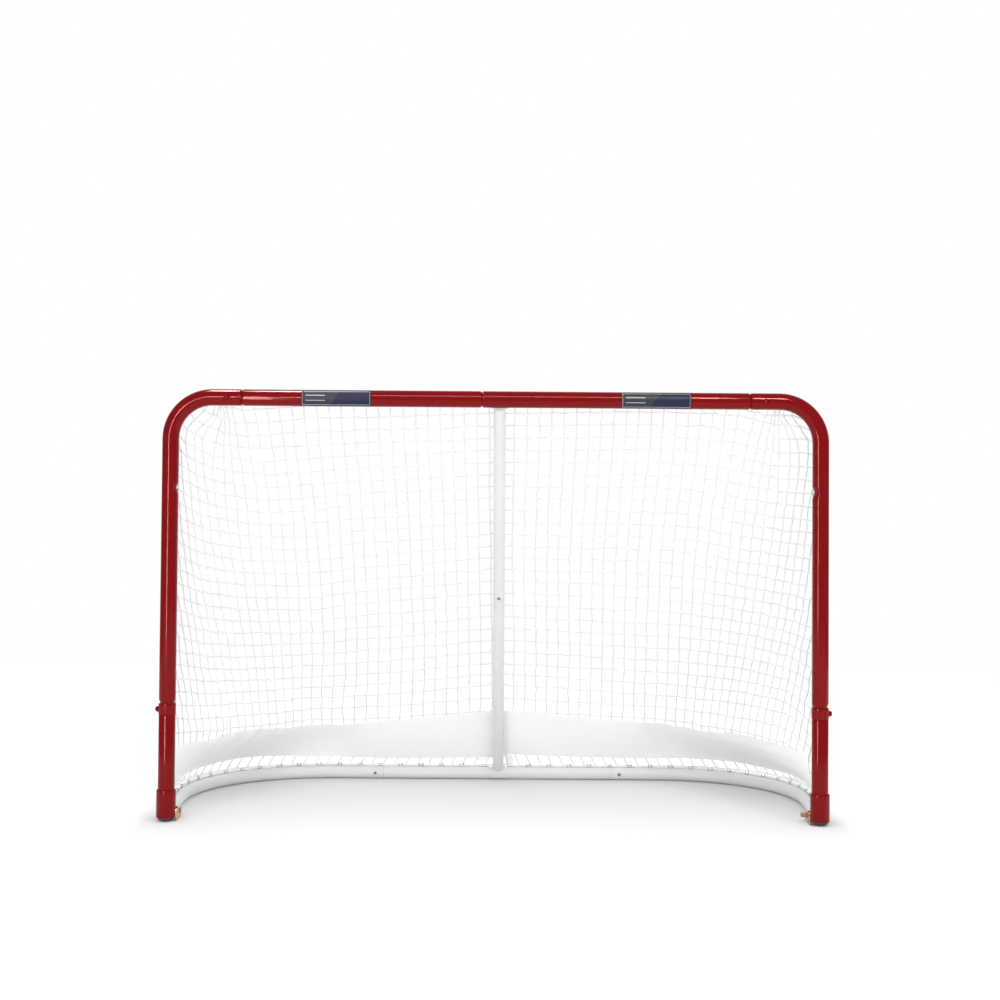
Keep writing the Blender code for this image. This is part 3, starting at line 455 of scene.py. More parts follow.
tubing = {
    "sides": 64,
    "frameWall": 0.0018,
    "baseWall": 0.0015,
    "cornerBend": 0.120,
    "baseBend": 0.4256,
    "cornerBendSteps": 24,
    "baseBendSteps": 40,
    "spigot": 0.072,
    "neckShowing": 0.0012,
    "frameNeck": 0.0206,
    "cornerTaper": 0.006,
    "middleTaper": 0.0085,
    "postTaper": 0.0135,
    "baseTaper": 0.003,
    "lip": 0.0005,
    "mouth": 0.0010,  # how far a rounded rim turns in
    "mouthLength": 0.0028,
    "ring": 0.012,  # from a button's middle to the next ring of faces
    "legRing": 0.10,
    "grooveDrop": 0.0022,  # the groove under the leg's collar
    "grooveEdge": 0.0004,
    "grooveWidth": 0.0014,
    "grooveDepth": 0.0014,
    "collarRing": 0.004,
    "collarLip": 0.0003,
    "fit": 0.0003,
}


class Run:
    # a tube under way: its last ring's place, direction and radius

    def __init__(self, place, way, radius):
        self.place, self.way, self.radius = Vector(place), Vector(way).normalized(), radius
        self.piece = startRing(self.place, self.way, radius, tubing["sides"])

    def push(self, distance, radius=None):
        radius = radius or self.radius
        self.place += self.way * distance
        pushRing(self.way * distance, self.place, radius / self.radius)
        self.radius = radius

    def to(self, value):
        # on to a value of the coordinate that the tube runs along
        axis = max(range(3), key=lambda index: abs(self.way[index]))
        self.push((value - self.place[axis]) / self.way[axis])

    def bend(self, centre, axis, angle, steps):
        # with no window, spin turns left-handed about its axis
        centre = Vector(centre)
        bpy.ops.mesh.spin(steps=steps, angle=-angle, center=centre, axis=axis)
        turn = Matrix.Rotation(angle, 3, Vector(axis))
        self.place = centre + turn @ (self.place - centre)
        self.way = turn @ self.way

    def taper(self, length, radius, steps=6):
        start = self.radius
        for step in range(1, steps + 1):
            ease = 0.5 - 0.5 * math.cos(math.pi * step / steps)
            self.push(length / steps, start + (radius - start) * ease)

    def neck(self, tube):
        # down to the neck that shows, and on as the spigot inside the next tube
        showing = tubing["neckShowing"]
        self.taper(tube["taper"], tube["neck"])
        self.push(showing * 1.5)
        self.push(showing, tube["spigot"])
        self.push(tubing["spigot"] - showing * 1.5)

    def unneck(self, tube):
        # the same end, made from the spigot's tip
        showing = tubing["neckShowing"]
        self.push(tubing["spigot"] - showing * 1.5)
        self.push(showing, tube["neck"])
        self.push(showing * 1.5)
        self.taper(tube["taper"], tube["full"])

    def flare(self, full, steps=4, least=0.0002):
        # the rounded rim of an open end
        start, done = self.radius, 0.0
        for step in range(1, steps + 1):
            angle = math.pi / 2 * step / steps
            reach = tubing["mouthLength"] * (1 - math.cos(angle))
            self.push(max(reach - done, least), start + (full - start) * math.sin(angle))
            done = reach

    def close(self, name, finish, node, wall, holes=(), lip=tubing["lip"], segments=2, press=None):
        finishShape(self.piece)
        if press:
            press(self.piece)
        applyModifier(self.piece, "SOLIDIFY", thickness=wall, offset=-1, use_even_offset=True)
        roundEdges(self.piece, lip, segments)
        for hole in holes:
            place, way, tube, pin = buttonAt[hole]
            drill(self.piece, place, way, pin["hole"], tube["full"] * 0.3, tube["full"] * 1.4)
        smoothEdges(self.piece)
        dress(self.piece, name, finish, node)


def tubeKind(full, wall, neck, taper):
    spigot = full - wall - tubing["fit"]
    neck = min(neck, spigot)
    return {"full": full, "wall": wall, "spigot": spigot, "neck": neck, "taper": taper}


def neckLength(tube):
    return tubing["neckShowing"] + tube["taper"]


frameTube = tubeKind(frameR, tubing["frameWall"], tubing["frameNeck"], tubing["cornerTaper"])
middleTube = dict(frameTube, taper=tubing["middleTaper"])
postTube = dict(frameTube, taper=tubing["postTaper"])
baseTube = tubeKind(baseR, tubing["baseWall"], baseR, tubing["baseTaper"])
barTube = tubeKind(barR, tubing["baseWall"], barR, tubing["baseTaper"])


def barDrop(height, outward):
    # how far down the bar it reaches a height with the front or the back of its skin
    return (height - crossbarZ + outward * barR * barBack.z) / barDown.z


barSeam = barDrop(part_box("centre_bar_upper")[0].z, 1)

# Snap buttons: radii of the pin and of its hole, and how far each stands from its tube's end

pins = {
    "frame": {"base": 0.0072, "tip": 0.0058, "proud": 0.0078, "hole": 0.0078},
    "leg": {"base": 0.0092, "tip": 0.0080, "proud": 0.0105, "hole": 0.0098},
    "base": {"base": 0.0046, "tip": 0.0036, "proud": 0.0050, "hole": 0.0050},
}
buttons = {
    "cornerInset": 0.0405,
    "legInset": 0.016,
    "rearInset": 0.0255,
    "barInset": 0.043,
    "footInside": 0.0045,
    "shoulder": 0.45,  # the share of what stands proud that tapers before the dome
    "domeSteps": 8,
}


def buttonPlaces():
    # where each button's axis meets its tube's axis, the way that it points, its tube and its pin
    found = {}
    for name, side in sides.items():
        corner = Vector((side * (cornerMouthX + buttons["cornerInset"]), mouthY, crossbarZ))
        found[name + "_crossbar"] = (corner, -alongY, frameTube, pins["frame"])
        leg = Vector((side * postX, mouthY, legMouthZ - buttons["legInset"]))
        found[name + "_leg"] = (leg, alongX * side, frameTube, pins["leg"])
        rear = Vector((rearMouthX[name] + side * buttons["rearInset"], baseY, baseZ))
        found[name + "_base"] = (rear, -alongY, baseTube, pins["base"])
    bar = barTop + barDown * (barSeam - buttons["barInset"])
    found["centre_bar"] = (bar, -barBack, barTube, pins["base"])
    return found


buttonAt = buttonPlaces()


def crossbarHalf(name):
    if name == "left":
        start = -cornerMouthX - tubing["spigot"]
        run = Run((start, mouthY, crossbarZ), alongX, frameTube["spigot"])
        run.unneck(frameTube)
        run.to(crossbarMouthX - neckLength(middleTube))
        run.neck(middleTube)
    else:
        run = Run((crossbarMouthX, mouthY, crossbarZ), alongX, frameR - tubing["mouth"])
        run.flare(frameR)
        run.push(tubing["ring"])
        run.to(cornerMouthX - neckLength(frameTube))
        run.neck(frameTube)
    hole = name + "_crossbar"
    run.close(f"crossbar_{name}_tube", redPaint, f"crossbar_{name}", frameTube["wall"], [hole])


dent = {"z": 0.953, "half": 0.020, "depth": 0.0055, "spread": 0.3, "ring": 0.0025, "rim": 1.3}


def pressDent(piece, side):
    # pushes the post's inner side in, as a press does, deepest at the middle line
    for vert in piece.data.vertices:
        reach = (vert.co.z - dent["z"]) / dent["half"]
        if abs(reach) >= 1:
            continue
        offset = Vector((vert.co.x - side * postX, vert.co.y - mouthY, 0))
        share = (-side * offset.x / offset.length - dent["spread"]) / (1 - dent["spread"])
        if share > 0:
            ease = math.sin(min(share * dent["rim"], 1.0) * math.pi / 2) ** 2
            depth = dent["depth"] * math.cos(math.pi / 2 * reach) ** 2 * ease
            vert.co -= offset.normalized() * depth


def cornerPost(name, side):
    start = side * cornerMouthX
    run = Run((start, mouthY, crossbarZ), alongX * side, frameR - tubing["mouth"])
    run.flare(frameR)
    inset, ring, bend = buttons["cornerInset"], tubing["ring"], tubing["cornerBend"]
    for reach in (ring, inset - ring, inset + ring):
        run.to(start + side * reach)
    bendX = side * (postX - bend)
    run.to(bendX)
    centre = (bendX, mouthY, crossbarZ - bend)
    run.bend(centre, alongY, side * math.pi / 2, tubing["cornerBendSteps"])
    run.to(dent["z"] + dent["half"])
    for _ in range(int(2 * dent["half"] / dent["ring"])):
        run.push(dent["ring"])
    run.to(legMouthZ + neckLength(postTube))
    run.neck(postTube)
    holes = [name + "_crossbar", name + "_leg"]
    run.close(name + "_corner_tube", redPaint, name + "_corner_post", frameTube["wall"], holes,
              press=lambda piece: pressDent(piece, side))


def legTube(name, side):
    low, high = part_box(name + "_leg")
    run = Run((side * postX, mouthY, low.z), alongZ, frameR)
    run.push(tubing["legRing"])
    run.to(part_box(name + "_leg_collar")[0].z - tubing["grooveDrop"])
    run.push(tubing["grooveEdge"], frameR - tubing["grooveDepth"])
    run.push(tubing["grooveWidth"])
    run.push(tubing["grooveEdge"], frameR)
    run.to(high.z)
    run.close(name + "_leg_tube", redPaint, name + "_leg", frameTube["wall"], [name + "_leg"])


def ringedSleeve(node, side, height, edge):
    # a short tube round the post with a ring of faces near each end
    outer, low = halfOf(node).x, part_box(node)[0].z
    run = Run((side * postX, mouthY, low), alongZ, outer)
    for distance in (edge, height - 2 * edge, edge):
        run.push(distance)
    return run, outer - frameR - tubing["fit"]


def legCollar(name, side):
    node = name + "_leg_collar"
    run, wall = ringedSleeve(node, side, 2 * halfOf(node).z, tubing["collarRing"])
    run.close(node + "_ring", redPaint, node, wall, [name + "_leg"], tubing["collarLip"])


for name, side in sides.items():
    crossbarHalf(name)
    cornerPost(name, side)
    legTube(name, side)
    legCollar(name, side)
print("red tubes built")


def baseSide(name, side):
    bend, joint = tubing["baseBend"], rearMouthX[name]
    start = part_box(name + "_base_tube")[0].y
    run = Run((side * baseX, start, baseZ), alongY, baseR)
    run.to(baseY - bend)
    centre = (side * (baseX - bend), baseY - bend, baseZ)
    run.bend(centre, alongZ, side * math.pi / 2, tubing["baseBendSteps"])
    run.to(joint + side * (buttons["rearInset"] + tubing["ring"]))
    run.push(2 * tubing["ring"])
    run.to(joint)
    node = name + "_base_tube"
    run.close(name + "_base_pipe", whitePaint, node, baseTube["wall"], [name + "_base"])


def rearBar():
    start = rearMouthX["left"] - tubing["spigot"]
    run = Run((start, baseY, baseZ), alongX, baseTube["spigot"])
    run.unneck(baseTube)
    run.to(rearMouthX["right"] - neckLength(baseTube))
    run.neck(baseTube)
    holes = ["left_base", "right_base"]
    run.close("base_rear_pipe", whitePaint, "base_rear_bar", baseTube["wall"], holes)


def centreBar():
    start = barDrop(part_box("centre_bar_upper")[1].z, -1)
    run = Run(barTop + barDown * start, barDown, barR)
    run.push(barSeam - buttons["barInset"] - tubing["ring"] - start)
    run.push(2 * tubing["ring"])
    run.push(buttons["barInset"] - tubing["ring"])
    wall, node = barTube["wall"], "centre_bar_upper"
    run.close(node + "_tube", whitePaint, node, wall, ["centre_bar"])
    end, node = barDrop(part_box("centre_bar_lower")[0].z, 1), "centre_bar_lower"
    start = barTop + barDown * (barSeam - tubing["spigot"])
    run = Run(start, barDown, barTube["spigot"])
    run.unneck(barTube)
    run.push(end - barSeam - neckLength(barTube))
    run.close(node + "_tube", whitePaint, node, wall, ["centre_bar"])


for name, side in sides.items():
    baseSide(name, side)
rearBar()
centreBar()
print("white tubes built")

# Saddles that hold the centre bar, and their screws

saddle = {
    "width": 0.048,
    "plate": 0.0022,
    "gap": 0.0006,
    "stub": 0.030,
    "stubEdge": (0.001, 0.002),
    "lip": 0.0007,
    "steps": 28,
    "screwSpread": 0.028,
    "screwTip": [(0.0012, -0.012), (0.0023, -0.009)],  # radius and height from the tube's skin
    "screwHead": [(0.0023, 0), (0.0042, 0), (0.0042, 0.0010), (0.0036, 0.0019), (0.0022, 0.0024)],
    "screwSeat": 0.0004,
    "recess": (0.0042, 0.0008, 0.0030),
}
# centre, the tube's radius, the way to the bar, where the plate starts and ends, and the screws
saddles = {
    "top_saddle": (barTop, frameR, barDown, -35, 95, 72),
    "foot_saddle": (barFoot, baseR, -barDown, -100, 74, 56),
}


def wayRound(toward, degrees):
    angle = math.radians(degrees)
    return toward * math.cos(angle) + barBack * math.sin(angle)


def saddlePlate(name, centre, tubeRadius, toward, start, end):
    # a strip bent round the tube, with a stub welded on for the bar
    inner = tubeRadius + saddle["gap"]
    middle = inner + saddle["plate"] / 2
    way, tangent = wayRound(toward, start), wayRound(toward, start + 90)
    startFresh()
    bpy.ops.mesh.primitive_plane_add(size=1, location=(0, 0, 0))
    piece = bpy.context.object
    for vert in piece.data.vertices:
        across, out = vert.co.x * saddle["width"], vert.co.y * saddle["plate"]
        vert.co = centre + alongX * across + way * (middle + out)
    bpy.ops.object.mode_set(mode="EDIT")
    bpy.ops.mesh.select_all(action="SELECT")
    turn, axis = math.radians(end - start), way.cross(tangent)
    bpy.ops.mesh.spin(steps=saddle["steps"], angle=-turn, center=centre, axis=axis)
    bpy.ops.mesh.select_all(action="SELECT")
    bpy.ops.mesh.remove_doubles(threshold=1e-6)
    finishShape(piece)
    roundEdges(piece, saddle["lip"], degrees=50)
    radius = barR - tubing["baseWall"] - tubing["fit"]
    reach, edge = inner + saddle["plate"] + saddle["stub"], saddle["stubEdge"]
    profile = [(radius, middle), (radius, reach - edge[1]), (radius - edge[0], reach)]
    cutBy(piece, turnedPiece(centre, toward, profile, 40), "UNION")
    smoothEdges(piece, 30)
    dress(piece, name + "_plate", whitePaint, name)


def saddleScrews(name, centre, tubeRadius, toward, degrees):
    # pan-head self-drilling screws with a cross recess
    way = wayRound(toward, degrees)
    seat = tubeRadius + saddle["gap"] + saddle["plate"] + saddle["screwSeat"]
    profile = [(radius, tubeRadius + height) for radius, height in saddle["screwTip"]]
    profile += [(radius, seat + height) for radius, height in saddle["screwHead"]]
    for index, share in enumerate((-0.5, 0.5)):
        place = centre + alongX * saddle["screwSpread"] * share
        screw = turnedPiece(place, way, profile, 24)
        top = Matrix.Translation(place + way * profile[-1][1])
        for tilt in (0, math.pi / 2):
            half = Vector(saddle["recess"]) / 2
            slot = block(-half, half)
            turn = way.to_track_quat("Z", "X").to_matrix() @ Matrix.Rotation(tilt, 3, "Z")
            slot.data.transform(top @ turn.to_4x4())
            cutBy(screw, slot)
        smoothEdges(screw, 40)
        node = f"{name}_screw_{index + 1}"
        dress(screw, node + "_head", zinc, node)


for name, values in saddles.items():
    saddlePlate(name, *values[:5])
for name, (centre, tubeRadius, toward, _, _, degrees) in saddles.items():
    saddleScrews(name, centre, tubeRadius, toward, degrees)
print("saddles built")


def snapButton(name):
    place, way, tube, pin = buttonAt[name]
    surface, share, steps = tube["full"], buttons["shoulder"], buttons["domeSteps"]
    shoulder = surface + pin["proud"] * share
    foot = tube["spigot"] - tube["wall"] - buttons["footInside"]
    profile = [(pin["base"], foot), (pin["base"], surface), (pin["tip"], shoulder)]
    for step in range(1, steps):
        angle = math.pi / 2 * step / steps
        dome = pin["proud"] * (1 - share) * math.sin(angle)
        profile.append((pin["tip"] * math.cos(angle), shoulder + dome))
    piece = turnedPiece(place, way, profile)
    smoothEdges(piece, 40)
    node = name + "_button"
    dress(piece, node + "_pin", redPaint if tube is frameTube else spring, node)


for name in buttonAt:
    snapButton(name)
print("buttons built")

# Foot sleeves, brackets and rubber plugs

sleeve = {
    "lower": 0.003,
    "edge": 0.012,
    "lip": 0.0008,
    "bead": 0.0017,
    "beadOut": 0.0007,
    "beadRise": 0.0002,
    "beadSteps": 96,
}


def footSleeve(name, side):
    node = name + "_foot_sleeve"
    height = 2 * halfOf(node).z - sleeve["lower"]
    run, wall = ringedSleeve(node, side, height, sleeve["edge"])
    run.close(node + "_tube", redPaint, node, wall, lip=sleeve["lip"], segments=3)
    # the weld: a bead of small ripples round the leg, under the paint
    chance = random.Random(11 + side)
    reach, steps = frameR + sleeve["beadOut"], sleeve["beadSteps"]
    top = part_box(node)[1].z - sleeve["lower"] + sleeve["beadRise"]
    points, radii = [], []
    for step in range(steps + 1):
        angle = 2 * math.pi * step / steps
        x, y = side * postX + math.cos(angle) * reach, mouthY + math.sin(angle) * reach
        points.append((x, y, top))
        radii.append(sleeve["bead"] * (chance.uniform(0.8, 1.15) if step % steps else 1.0))
    cordPiece([(points, radii)], 8, name + "_foot_weld", redPaint)


# a cheek on each side of the base tube and a web between them; Y counts from the post's axis
bracket = {
    "plate": 0.0025,
    "bottom": 0.0012,
    "top": 0.036,
    "backTop": 0.025,
    "innerFront": -0.006,
    "outerFront": 0.024,
    "back": 0.078,
    "web": 0.0288,
    "webBite": 0.0005,
    "slot": (0.016, 0.0085, 0.0215, 0.0028),  # Y, lowest and highest hole, radius
    "slotHoles": 4,
    "boltY": 0.055,
    "boltHole": 0.0046,
    "round": 0.005,
    "lip": 0.0005,
}


def roundCorners(piece, width):
    # the corners of a cheek, which is seen from its side
    activate(piece)
    bpy.ops.object.mode_set(mode="EDIT")
    bpy.ops.mesh.select_mode(type="EDGE")
    bpy.ops.mesh.select_all(action="DESELECT")
    bpy.ops.object.mode_set(mode="OBJECT")
    for edge in piece.data.edges:
        span = piece.data.vertices[edge.vertices[0]].co - piece.data.vertices[edge.vertices[1]].co
        edge.select = abs(span.x) > 0.001 and span.yz.length < 1e-5
    bpy.ops.object.mode_set(mode="EDIT")
    bpy.ops.mesh.bevel(offset=width, segments=4)
    bpy.ops.mesh.select_mode(type="VERT")
    bpy.ops.object.mode_set(mode="OBJECT")


def footBracket(name, side):
    node = name + "_foot_bracket"
    plate, bottom, top, back = (bracket[key] for key in ("plate", "bottom", "top", "back"))
    middle, face = middleOf(node).x, halfOf(node).x - plate
    bolt = (bracket["boltY"], middleOf(name + "_foot_bolt").z, bracket["boltHole"])
    cheeks = []
    for out, front in ((-side, bracket["innerFront"]), (side, bracket["outerFront"])):
        left, right = sorted((middle + out * face, middle + out * (face + plate)))
        cheek = block((left, mouthY + front, bottom), (right, mouthY + back, top))
        for vert in cheek.data.vertices:
            if vert.co.z > (bottom + top) / 2 and vert.co.y > mouthY + back - plate:
                vert.co.z = bracket["backTop"]
        roundCorners(cheek, bracket["round"])
        holes = [bolt]
        if out == -side:
            y, first, last, radius = bracket["slot"]
            count = bracket["slotHoles"]
            rise = (last - first) / (count - 1)
            holes = [(y, first + rise * step, radius) for step in range(count)] + holes
        for y, z, radius in holes:
            drill(cheek, (middle, mouthY + y, z), alongX * out, radius, face * 0.8, face * 1.3)
        cheeks.append(cheek)
    web, half = mouthY + bracket["web"], face + bracket["webBite"]
    back = block((middle - half, web, bottom), (middle + half, web + plate, top))
    cutBy(cheeks[0], back, "UNION")
    cutBy(cheeks[0], cheeks[1], "UNION")
    roundEdges(cheeks[0], bracket["lip"])
    smoothEdges(cheeks[0])
    dress(cheeks[0], node + "_plate", zinc, node)


plug = {
    "foot": [(0.0130, 0.0), (0.0085, 0.0006), (0.0045, 0.0022), (0.0018, 0.0045), (0.0005, 0.0072)],
    "tip": (0.0015, 0.002),
}


def footPlug(name, side):
    node = name + "_foot_plug"
    flange, high = halfOf(node).x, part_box(node)[1].z
    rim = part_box(name + "_foot_sleeve")[0].z - tubing["fit"]
    neck = frameR - tubing["frameWall"] - 2 * tubing["fit"]
    profile = [(flange - inset, height) for inset, height in plug["foot"]]
    profile += [(flange, rim), (neck, rim), (neck, high - plug["tip"][1])]
    profile.append((neck - plug["tip"][0], high))
    piece = turnedPiece((side * postX, mouthY, 0), alongZ, profile, 48)
    smoothEdges(piece, 40)
    dress(piece, node + "_moulding", rubber, node)


for name, side in sides.items():
    footSleeve(name, side)
    footBracket(name, side)
    footPlug(name, side)
print("feet built")

# Net: rows hang from post to post, columns hang from the crossbar to the base.
# It is laced two meshes lower on the right post, so its rows slant down to the right.

net = {
    "rows": 30,
    "cord": 0.0020,
    "border": 0.0019,
    "evenColumns": 12,
    "flatColumns": 20,
    "bunch": [0.739, 0.770, 0.789, 0.796, 0.804, 0.807, 0.818, 0.843],
    "bunchSettles": [9, 9, 8, 7, 6, 3.2, 3.5, 3],
    "behind": 0.006,
    "barGap": 0.003,
    "rowGap": 0.012,  # below the crossbar's axis: rows before and after they are lifted
    "topGap": 0.010,
    "postReach": 0.0285,
    "footOut": 0.008,
    "footBlend": 0.16,
    "footStart": 0.046,
    "footHalf": 0.50,
    "topHalf": 0.74,
    "leaveAngle": 17,
    "leaveLength": 0.25,
    "joinLength": 0.10,
    "endGap": 0.006,
    "wander": 0.0010,
    "jog": 0.0023,
    "jogShare": 0.42,
    "sway": 0.0012,
    "knot": 0.0023,
    "split": 15,  # the last column of the back panel
}
netSides = {
    -1: {"bunchShift": 0.0, "leaveRise": 0.45, "joinRise": 0.10},
    1: {"bunchShift": 0.018, "leaveRise": 0.36, "joinRise": 0.30},
}
# at a row's number: how far down the bar it crosses, how much higher its middle hangs, how much
# lower its right end hangs, and where its ends are laced
netRowDrop = ([0, 22, 26, 30], [0.0418, 1.0309, 1.1998, 1.372])
netRowMiddle = ([0, 1, 4, 8, 15, 24, 27, 30], [0.015, 0.018, 0.0245, 0.037, 0.052, 0.050, 0.028, 0])
netRowRight = (
    [0, 1, 4, 8, 15, 24, 27, 30],
    [-0.008, -0.011, -0.007, 0.006, 0.026, 0.035, 0.020, 0],
)
netRowEnds = {
    -1: ([0, 4, 12, 26, 30], [0.0, 0.151, 0.454, 1.003, 1.190]),
    1: ([0, 2, 10, 24, 28, 30], [0.076, 0.151, 0.454, 1.003, 1.150, 1.190]),
}
# at a row's number: the distance between columns, and how far the first is from the middle
netPitch = {
    -1: (
        [0, 2, 6, 9, 13, 18, 22, 25, 30],
        [0.0360, 0.0356, 0.0351, 0.0351, 0.0350, 0.0352, 0.0360, 0.0368, 0.0368],
    ),
    1: ([0, 2, 6, 9, 13, 18, 30], [0.0363, 0.0361, 0.0357, 0.0353, 0.0348, 0.0346, 0.0352]),
}
netFirstRows = [0, 5, 9, 13, 18, 21, 29, 30]
netFirst = {
    -1: (netFirstRows, [0.0203, 0.0200, 0.0176, 0.0157, 0.0122, 0.0103, 0.0103, 0.0320]),
    1: (netFirstRows, [0.0180, 0.0180, 0.0160, 0.0160, 0.0213, 0.0239, 0.0239, 0.0450]),
}
# how far each row is pulled up (mm) at shares of the way from the middle to a post
netLiftRows = [0, 4, 8, 12, 16, 20, 24, 30]
netLift = {
    -1: {
        0: [4.5, 8, 8, 7, 6, 8, 8, 0],
        0.24: [1.5, 4, 4, 4, 6, 6, 4, 0],
        0.43: [1, 4, 5, 5, 6, 10, 11, 0],
        0.61: [1, -2, -2, -7, -11, -7, -3, 0],
        0.74: [-4, -7, -13, -18, -20, -15, -4, 0],
        0.87: [-12, -13, -16, -20, -19, -13, -7, 0],
        1: [0, 0, 0, 0, 0, 0, 0, 0],
    },
    1: {
        0: [4.5, 8, 8, 7, 6, 8, 8, 0],
        0.20: [5, 7, 7, 9, 10, 11, 10, 0],
        0.37: [8, 10, 11, 14, 12, 12, 10, 0],
        0.55: [6, 9, 9, 11, 13, 19, 20, 0],
        0.72: [0, -8, -9, -2, 7, 23, 36, 0],
        0.88: [-20, -19, -12, -4, 5, 19, 42, 0],
        1: [0, 0, 0, 0, 0, 0, 0, 0],
    },
}
# at a height: how many columns a half row has
netColumnsAt = (
    [0.05, 0.266, 0.377, 0.50, 0.60, 0.725, 0.90, 1.06, 1.20],
    [36, 34, 33, 32, 31, 30, 29, 28, 27],
)

bendX, bendZ = postX - tubing["cornerBend"], crossbarZ - tubing["cornerBend"]
borderInset = net["postReach"] * math.sqrt(0.5)
borderRadius = postX - borderInset - bendX
backStart = barTop + barBack * (barR + net["behind"])


def read(table, value):
    return float(np.interp(value, *table))


def backPoint(x, height):
    # the point of the net's slanting back at a height, clear of the crossbar
    y = backStart.y + barDown.y * (height - backStart.z) / barDown.z
    rise, clear = height - crossbarZ, frameR + net["barGap"]
    if abs(rise) < clear:
        y = max(y, mouthY + math.sqrt(clear**2 - rise**2))
    return Vector((x, y, height))


def rowHeight(row, side, reach):
    # a row's height at the middle of the back (reach 0) or where its side begins (reach 1)
    left = backStart.z + barDown.z * read(netRowDrop, row)
    middle = left + read(netRowMiddle, row)
    end = left if side < 0 else middle - read(netRowRight, row)
    return min(middle + (end - middle) * reach**1.1, crossbarZ - net["rowGap"])


def borderPoint(side, along):
    # a point of the frame's inner edge, so far round the bend and down the post
    turn = borderRadius * math.pi / 2
    angle = min(max(along, 0), turn) / borderRadius
    x = bendX + borderRadius * math.sin(angle) + min(along, 0)
    z = bendZ + borderRadius * math.cos(angle) - max(along - turn, 0)
    return Vector((side * x, mouthY + borderInset, z))


def footLine(side, out, height, reachX, steps=32):
    # the base tube's own line from the foot to reachX, moved out and up
    bend = tubing["baseBend"]
    points = [Vector((side * (baseX + out), mouthY + net["footStart"], height))]
    for step in range(steps + 1):
        angle = math.pi / 2 * step / steps
        x = side * (baseX - bend + (bend + out) * math.cos(angle))
        points.append(Vector((x, baseY - bend + (bend + out) * math.sin(angle), height)))
    points.append(Vector((reachX, baseY + out, height)))
    return points, lineLengths(points)


def lineLengths(points):
    steps = [(after - before).length for before, after in zip(points, points[1:])]
    return np.concatenate([[0], np.cumsum(steps)])


def pointOn(points, lengths, distance):
    index = int(np.searchsorted(lengths, distance, side="right")) - 1
    index = min(max(index, 0), len(points) - 2)
    share = (distance - lengths[index]) / max(lengths[index + 1] - lengths[index], 1e-9)
    return points[index].lerp(points[index + 1], share)


netFootZ = rowHeight(net["rows"], -1, 1)


def liftAt(side, row, share):
    lifts = [float(np.interp(row, netLiftRows, lift)) for lift in netLift[side].values()]
    return float(np.interp(share, list(netLift[side]), lifts)) / 1000


def halfRow(side, row, backSteps=8, steps=40):
    # one row from the middle of the back to the post, and its lengths
    shape = netSides[side]
    joinHeight = rowHeight(row, side, 1)
    joinX = net["footHalf"] + (net["topHalf"] - net["footHalf"]) * (joinHeight / crossbarZ) ** 2
    points = []
    for step in range(backSteps):
        height = rowHeight(row, side, step / backSteps)
        points.append(backPoint(side * joinX * step / backSteps, height))
    join = backPoint(side * joinX, joinHeight)
    post = borderPoint(side, read(netRowEnds[side], row))
    # a curve from the post to the back, which turns into the base tube's own line near the ground
    leave = min(net["leaveLength"], max(join.y - post.y, 0.01) * 0.6)
    angle = math.radians(net["leaveAngle"])
    first = post + Vector((-side * math.sin(angle), math.cos(angle), 0)) * leave
    first.z = post.z + (join.z - post.z) * shape["leaveRise"]
    second = join + Vector((side * net["joinLength"], 0, (post.z - join.z) * shape["joinRise"]))
    second.x = side * min(abs(second.x), (abs(join.x) + abs(post.x)) / 2)
    ground, groundLengths = footLine(side, net["footOut"], netFootZ, join.x)
    weight = max(0.0, min((join.z - netFootZ) / net["footBlend"], 1.0))
    weight = weight * weight * (3 - 2 * weight)
    for step in range(steps + 1):
        t = 1 - step / steps
        curve = post * (1 - t) ** 3 + first * 3 * t * (1 - t) ** 2
        curve += second * 3 * t**2 * (1 - t) + join * t**3
        below = pointOn(ground, groundLengths, t * groundLengths[-1])
        below.z = curve.z
        points.append(below.lerp(curve, weight))
    lengths = lineLengths(points)
    for point, length in zip(points, lengths):
        lift = liftAt(side, row, length / lengths[-1])
        point.z = min(point.z + lift, crossbarZ - net["topGap"])
    return points, lineLengths(points)


def topDistance(side, column):
    # where a column hangs on the crossbar: even in the middle, then bunched by each corner
    past = column - net["flatColumns"]
    if past < 0:
        return read(netFirst[side], 0) + column * read(netPitch[side], 0)
    return net["bunch"][min(past, len(net["bunch"]) - 1)] + netSides[side]["bunchShift"]


def columnDistance(side, column, row, length, count):
    # how far along its half row a column crosses it
    phase, pitch = read(netFirst[side], row), read(netPitch[side], row)
    spare = phase + pitch * count - length
    late = max(column - net["evenColumns"], 0) / (count - net["evenColumns"])
    even = phase + pitch * column - spare * late**2
    past = column - net["flatColumns"]
    if past >= len(net["bunch"]):
        return even
    settle = net["bunchSettles"][max(past, 0)]
    ease = 1 - (1 - min(row / settle, 1.0)) ** 1.6
    return topDistance(side, column) * (1 - ease) + even * ease


